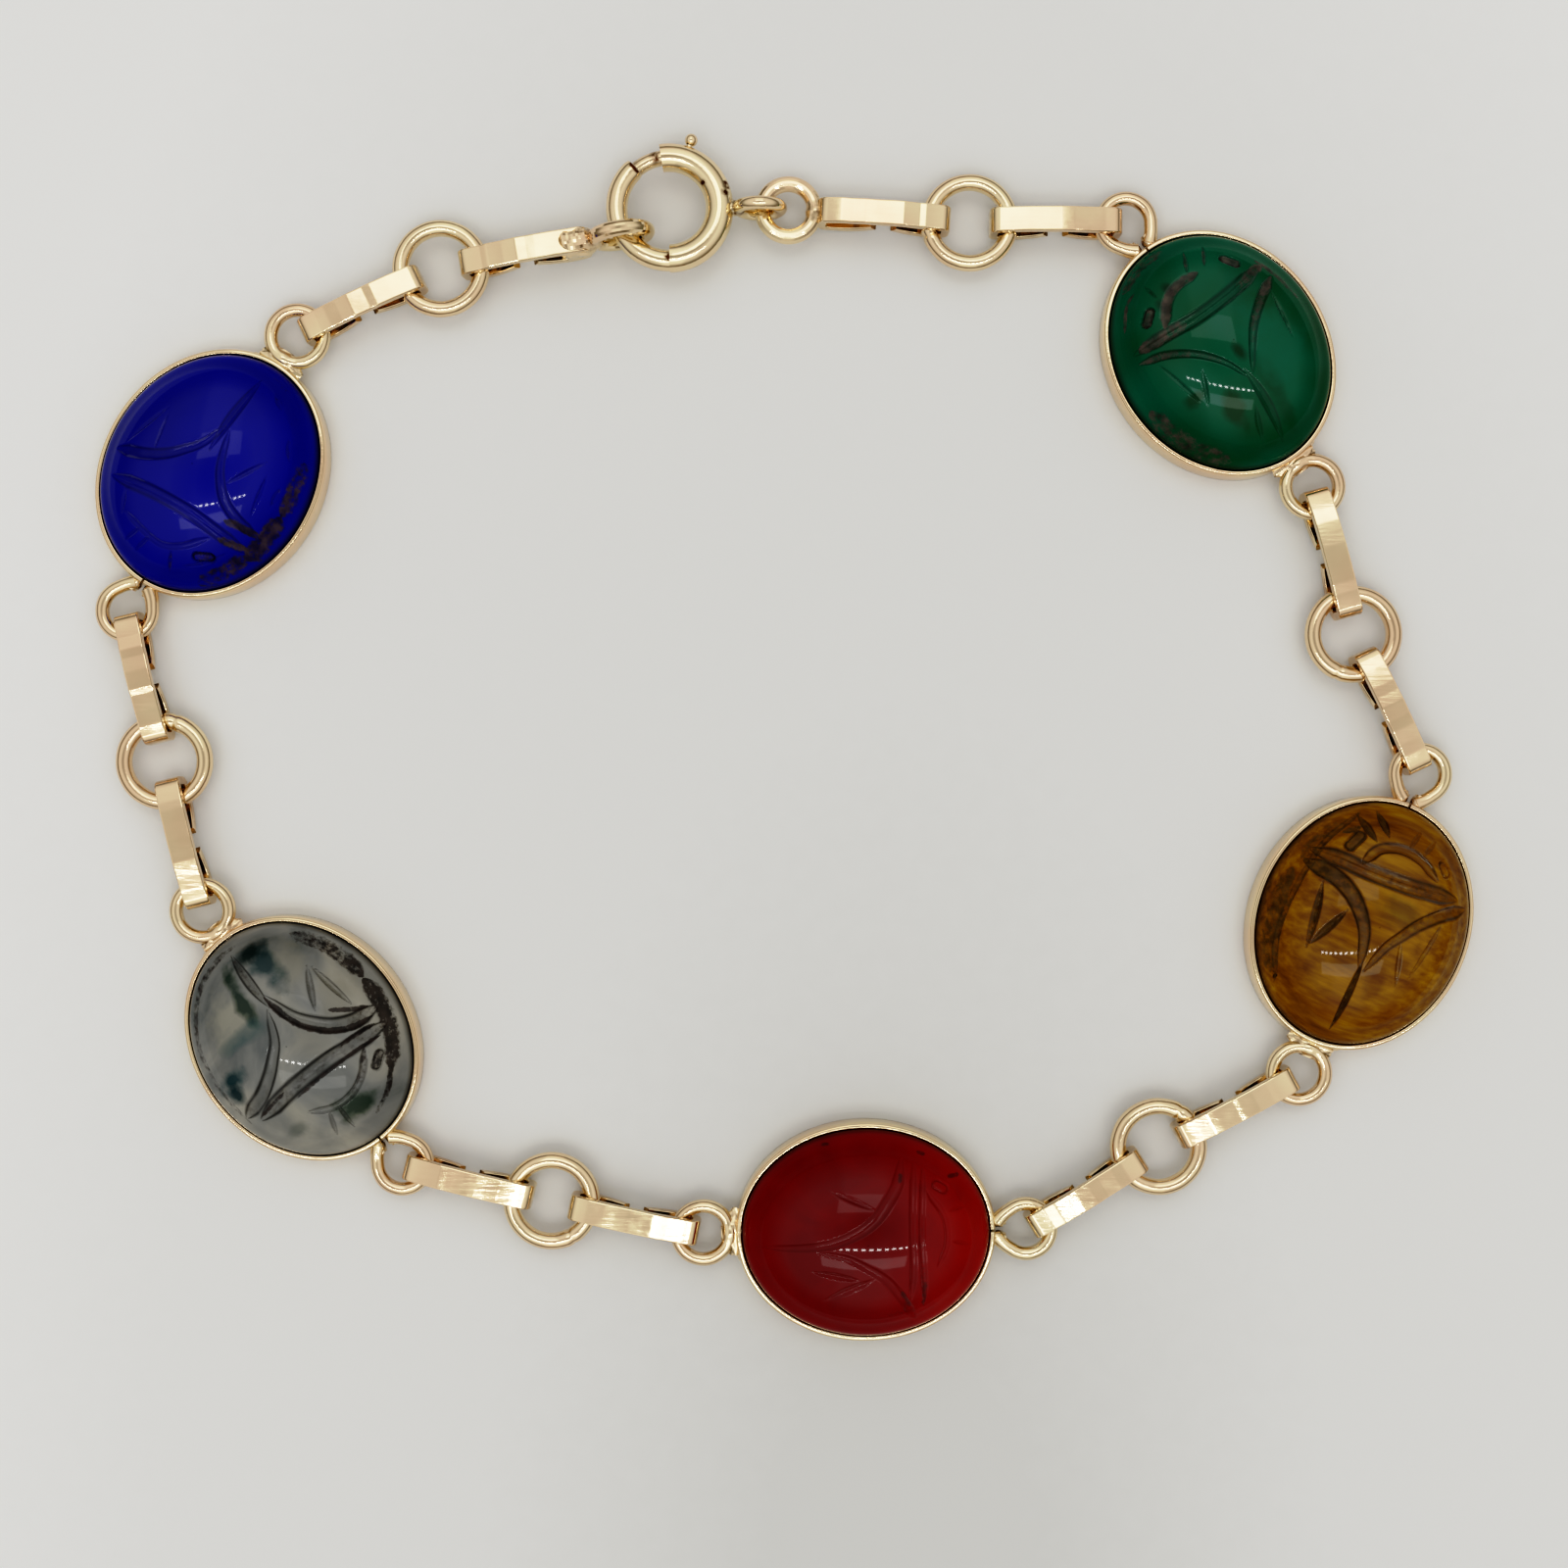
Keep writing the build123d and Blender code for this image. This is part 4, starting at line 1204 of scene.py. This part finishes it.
# The solder on each end link's tip
solder_rows = {
    "link_1": [(-0.18, 0.30, 0.34), (0.02, 0.42, 0.40), (0.20, 0.40, 0.36), (0.36, 0.22, 0.22)],
    "link_12": [
        (-1.45, 0.45, 0.80),
        (-1.15, 0.66, 1.06),
        (-0.75, 0.68, 1.08),
        (-0.35, 0.68, 1.08),
        (0.00, 0.60, 0.96),
        (0.28, 0.44, 0.62),
        (0.46, 0.20, 0.30),
    ],
}
for name, ring_place, ring_size, bite, held, side, tarnish_and_shade in (
    ("link_1", flat_ring_place, flat_ring_radius, flat_ring_bite, "a", 1, 0.7),
    ("link_12", hook_ring_place, hook_ring_radius, hook_ring_bite, "f", -1, 1.3),
):
    eye_point = rings[held] - level(rings[held] - ring_place) * ring_radius
    along = (eye_point - ring_place).normalized()
    step = link_half + ring_size + end_wire / 2 - bite
    place = frame_along(ring_place + along * step, along * side)
    ring_frame = place @ Matrix.Translation((-side * step, 0, 0))
    solder_place = place @ Matrix.Translation((-side * link_half, 0, 0))
    half_turn = Matrix.Rotation(pi, 4, "Z")
    if name == "link_1":
        solder_place = solder_place @ half_turn
    else:
        # Its ring stands upright
        ring_frame = ring_frame @ Matrix.Rotation(pi / 2, 4, "X") @ half_turn
    solder_point = solder_place @ Vector((0, 0, 0.3 * mm))
    parts = [
        (grown(folded_strip, strip_sizes, strip_path(name)), place),
        (grown(bent_wire, end_wire_sizes, ring_path(ring_size, 0.0, 0.22)), ring_frame),
        (lofted(solder_rows[name], 0.16), solder_place),
    ]
    spots = [(solder_point, 0.42 * mm, tarnish_and_shade)]
    piece("gold_" + name, parts, "bracelet", name, gold, spots, flat_angle)

# Spring ring clasp: a gold tube on its right half holds the sprung wire gate, and a solid wire half closes
# it on the left. The gate's knob runs in a slot on the tube's outside. An upright eyelet is soldered on.
clasp_radius = 2.45 * mm
tube_wire = 1.35 * mm
tube_wall = 0.2 * mm
clasp_wire = 1.05 * mm
clasp_wire_radius = 2.55 * mm
gate_wire = 0.74 * mm
mouth_angle = 99
wire_tip_angle = 131
joint_angle = -89
joint_overlap = 5
tip_gap = 1.2
slot_width = 0.46 * mm
knob_angle = 72
gate_travel = 36
gate_tail = 14
knob_radius = 0.31 * mm
knob_reach = 3.46 * mm
stem_wire = 0.32 * mm
eyelet_radius = 1.035 * mm
eyelet_wire = 0.63 * mm
eyelet_step = 3.125 * mm + 1.27 * mm
clasp_middle = Vector(frame["joints"][0]["pos_m"])
clasp_place = Matrix.Translation(clasp_middle)


def arc_path(radius, start, end, steps, thick=None):
    """Points of an arc round the clasp's middle, in degrees."""
    angles = [radians(start + (end - start) * step / steps) for step in range(steps + 1)]
    return path_mesh([(radius * cos(a), radius * sin(a), 0) for a in angles], thick)


def slotted_tube():
    """The clasp's tube: a curved sheet with the knob's slot left out of it, given its wall."""
    along_steps = 94
    round_steps = 30
    margin = degrees(slot_width / 2 / clasp_radius)
    slot_half = degrees(slot_width / tube_wire)
    sheet = bmesh.new()
    rows = []
    for step in range(along_steps + 1):
        angle = radians(joint_angle + (mouth_angle - joint_angle) * step / along_steps)
        row = []
        for side in range(round_steps):
            turn = 2 * pi * (side + 0.5) / round_steps
            out = clasp_radius + tube_wire / 2 * cos(turn)
            row.append(sheet.verts.new((out * cos(angle), out * sin(angle), tube_wire / 2 * sin(turn))))
        rows.append(row)
    for step in range(along_steps):
        angle = joint_angle + (mouth_angle - joint_angle) * (step + 0.5) / along_steps
        in_slot = knob_angle - gate_travel - margin < angle < knob_angle + margin
        for side in range(round_steps):
            turn = (degrees(2 * pi * (side + 1) / round_steps) + 180) % 360 - 180
            if in_slot and abs(turn) < slot_half:
                continue
            other = (side + 1) % round_steps
            near, far = rows[step], rows[step + 1]
            sheet.faces.new((near[side], near[other], far[other], far[side]))
    bmesh.ops.recalc_face_normals(sheet, faces=sheet.faces)
    holder = in_scene("holder", as_mesh(sheet, "tube"))
    wall = holder.modifiers.new("wall", "SOLIDIFY")
    wall.thickness = tube_wall
    wall.offset = -1
    wall.use_even_offset = True
    return applied(holder)


# A bead of solder between the tube and the eyelet
bead_rows = [(-0.3, 0.34, 0.36), (-0.1, 0.37, 0.4), (0.1, 0.35, 0.38), (0.3, 0.27, 0.3), (0.38, 0.12, 0.14)]
clasp_wire_sizes = {"Wire": clasp_wire, "Sides": 28, "Waver": 0.05 * mm, "Material": gold}
eyelet_sizes = {"Wire": eyelet_wire, "Sides": 18, "Waver": 0.02 * mm, "Material": gold}
wire_steps = 80
wire_thick = [min(1, 0.93 + 0.07 * min(step, wire_steps - step) / 2) for step in range(wire_steps + 1)]
wire_end = 360 + joint_angle + joint_overlap
wire_path = arc_path(clasp_wire_radius, wire_tip_angle, wire_end, wire_steps, wire_thick)
eyelet_seam = -0.9
eyelet_turn = Matrix.Translation((eyelet_step, 0, 0)) @ Matrix.Rotation(pi / 2, 4, "X")
eyelet_turn = eyelet_turn @ Matrix.Rotation(eyelet_seam, 4, "Z")
outside = Matrix.Translation((clasp_radius + tube_wire / 2, 0, 0))
body_parts = [
    (slotted_tube(), clasp_place),
    (grown(bent_wire, clasp_wire_sizes, wire_path), clasp_place),
    (grown(bent_wire, eyelet_sizes, ring_path(eyelet_radius, 0.14, 0.06)), clasp_place @ eyelet_turn),
    (lofted(bead_rows, 0.25), clasp_place @ outside),
]
# Pits on the tube, painted shade on the line where the gate meets the solid half, the lower joint and the
# eyelet's solder: (x, y, z, reach, strength) in mm from the clasp's middle
clasp_spots = [
    (clasp_middle + Vector((x, y, z)) * mm, reach * mm, strength)
    for x, y, z, reach, strength in (
        (2.70, 0.98, 0.35, 0.19, 3),
        (2.66, 0.60, 0.45, 0.17, 3),
        (1.66, 1.12, 0.5, 0.10, 3),
        (-1.54, 1.72, 0.42, 0.10, 3),
        (-1.66, 1.85, 0.50, 0.10, 3),
        (-1.78, 1.98, 0.48, 0.10, 3),
        (0.02, -2.5, 0.4, 0.22, 2.0),
        (3.35, 0, 0.1, 0.34, 1.6),
    )
]
piece("gold_clasp_body", body_parts, "bracelet", "clasp_body", gold, clasp_spots, 30)

# The gate: the sprung wire, with its stem and knob soldered on
gate_sizes = {"Wire": gate_wire, "Sides": 24, "Waver": 0.02 * mm, "Material": gold}
stem_sizes = {"Wire": stem_wire, "Sides": 14, "Waver": 0.0, "Material": gold}
gate_path = arc_path(clasp_radius, knob_angle - gate_tail, wire_tip_angle - tip_gap, 48)
stem_steps = 6
stem_reach = knob_reach - clasp_radius
stem_line = [Vector((clasp_radius + stem_reach * step / stem_steps, 0, 0)) for step in range(stem_steps + 1)]
knob_rows = []
knob_steps = 16
for step in range(1, knob_steps):
    turn = pi * step / knob_steps
    girth = knob_radius / mm * sin(turn)
    knob_rows.append((-knob_radius / mm * cos(turn), girth, girth))
knob_turn = Matrix.Rotation(radians(knob_angle), 4, "Z")
gate_parts = [
    (grown(bent_wire, gate_sizes, gate_path), clasp_place),
    (grown(bent_wire, stem_sizes, path_mesh(stem_line)), clasp_place @ knob_turn),
    (lofted(knob_rows), clasp_place @ knob_turn @ Matrix.Translation((knob_reach, 0, 0))),
]
# Painted shade where the gate meets the solid half, and a darker spot further along the gate
gate_spots = [
    (clasp_middle + Vector(point) * mm, 0.3 * mm, 1.3) for point in ((-1.5, 1.95, 0), (-0.6, 2.4, 0.2))
]
piece("gold_clasp_gate", gate_parts, "gate", "clasp_gate", gold, gate_spots, 35)
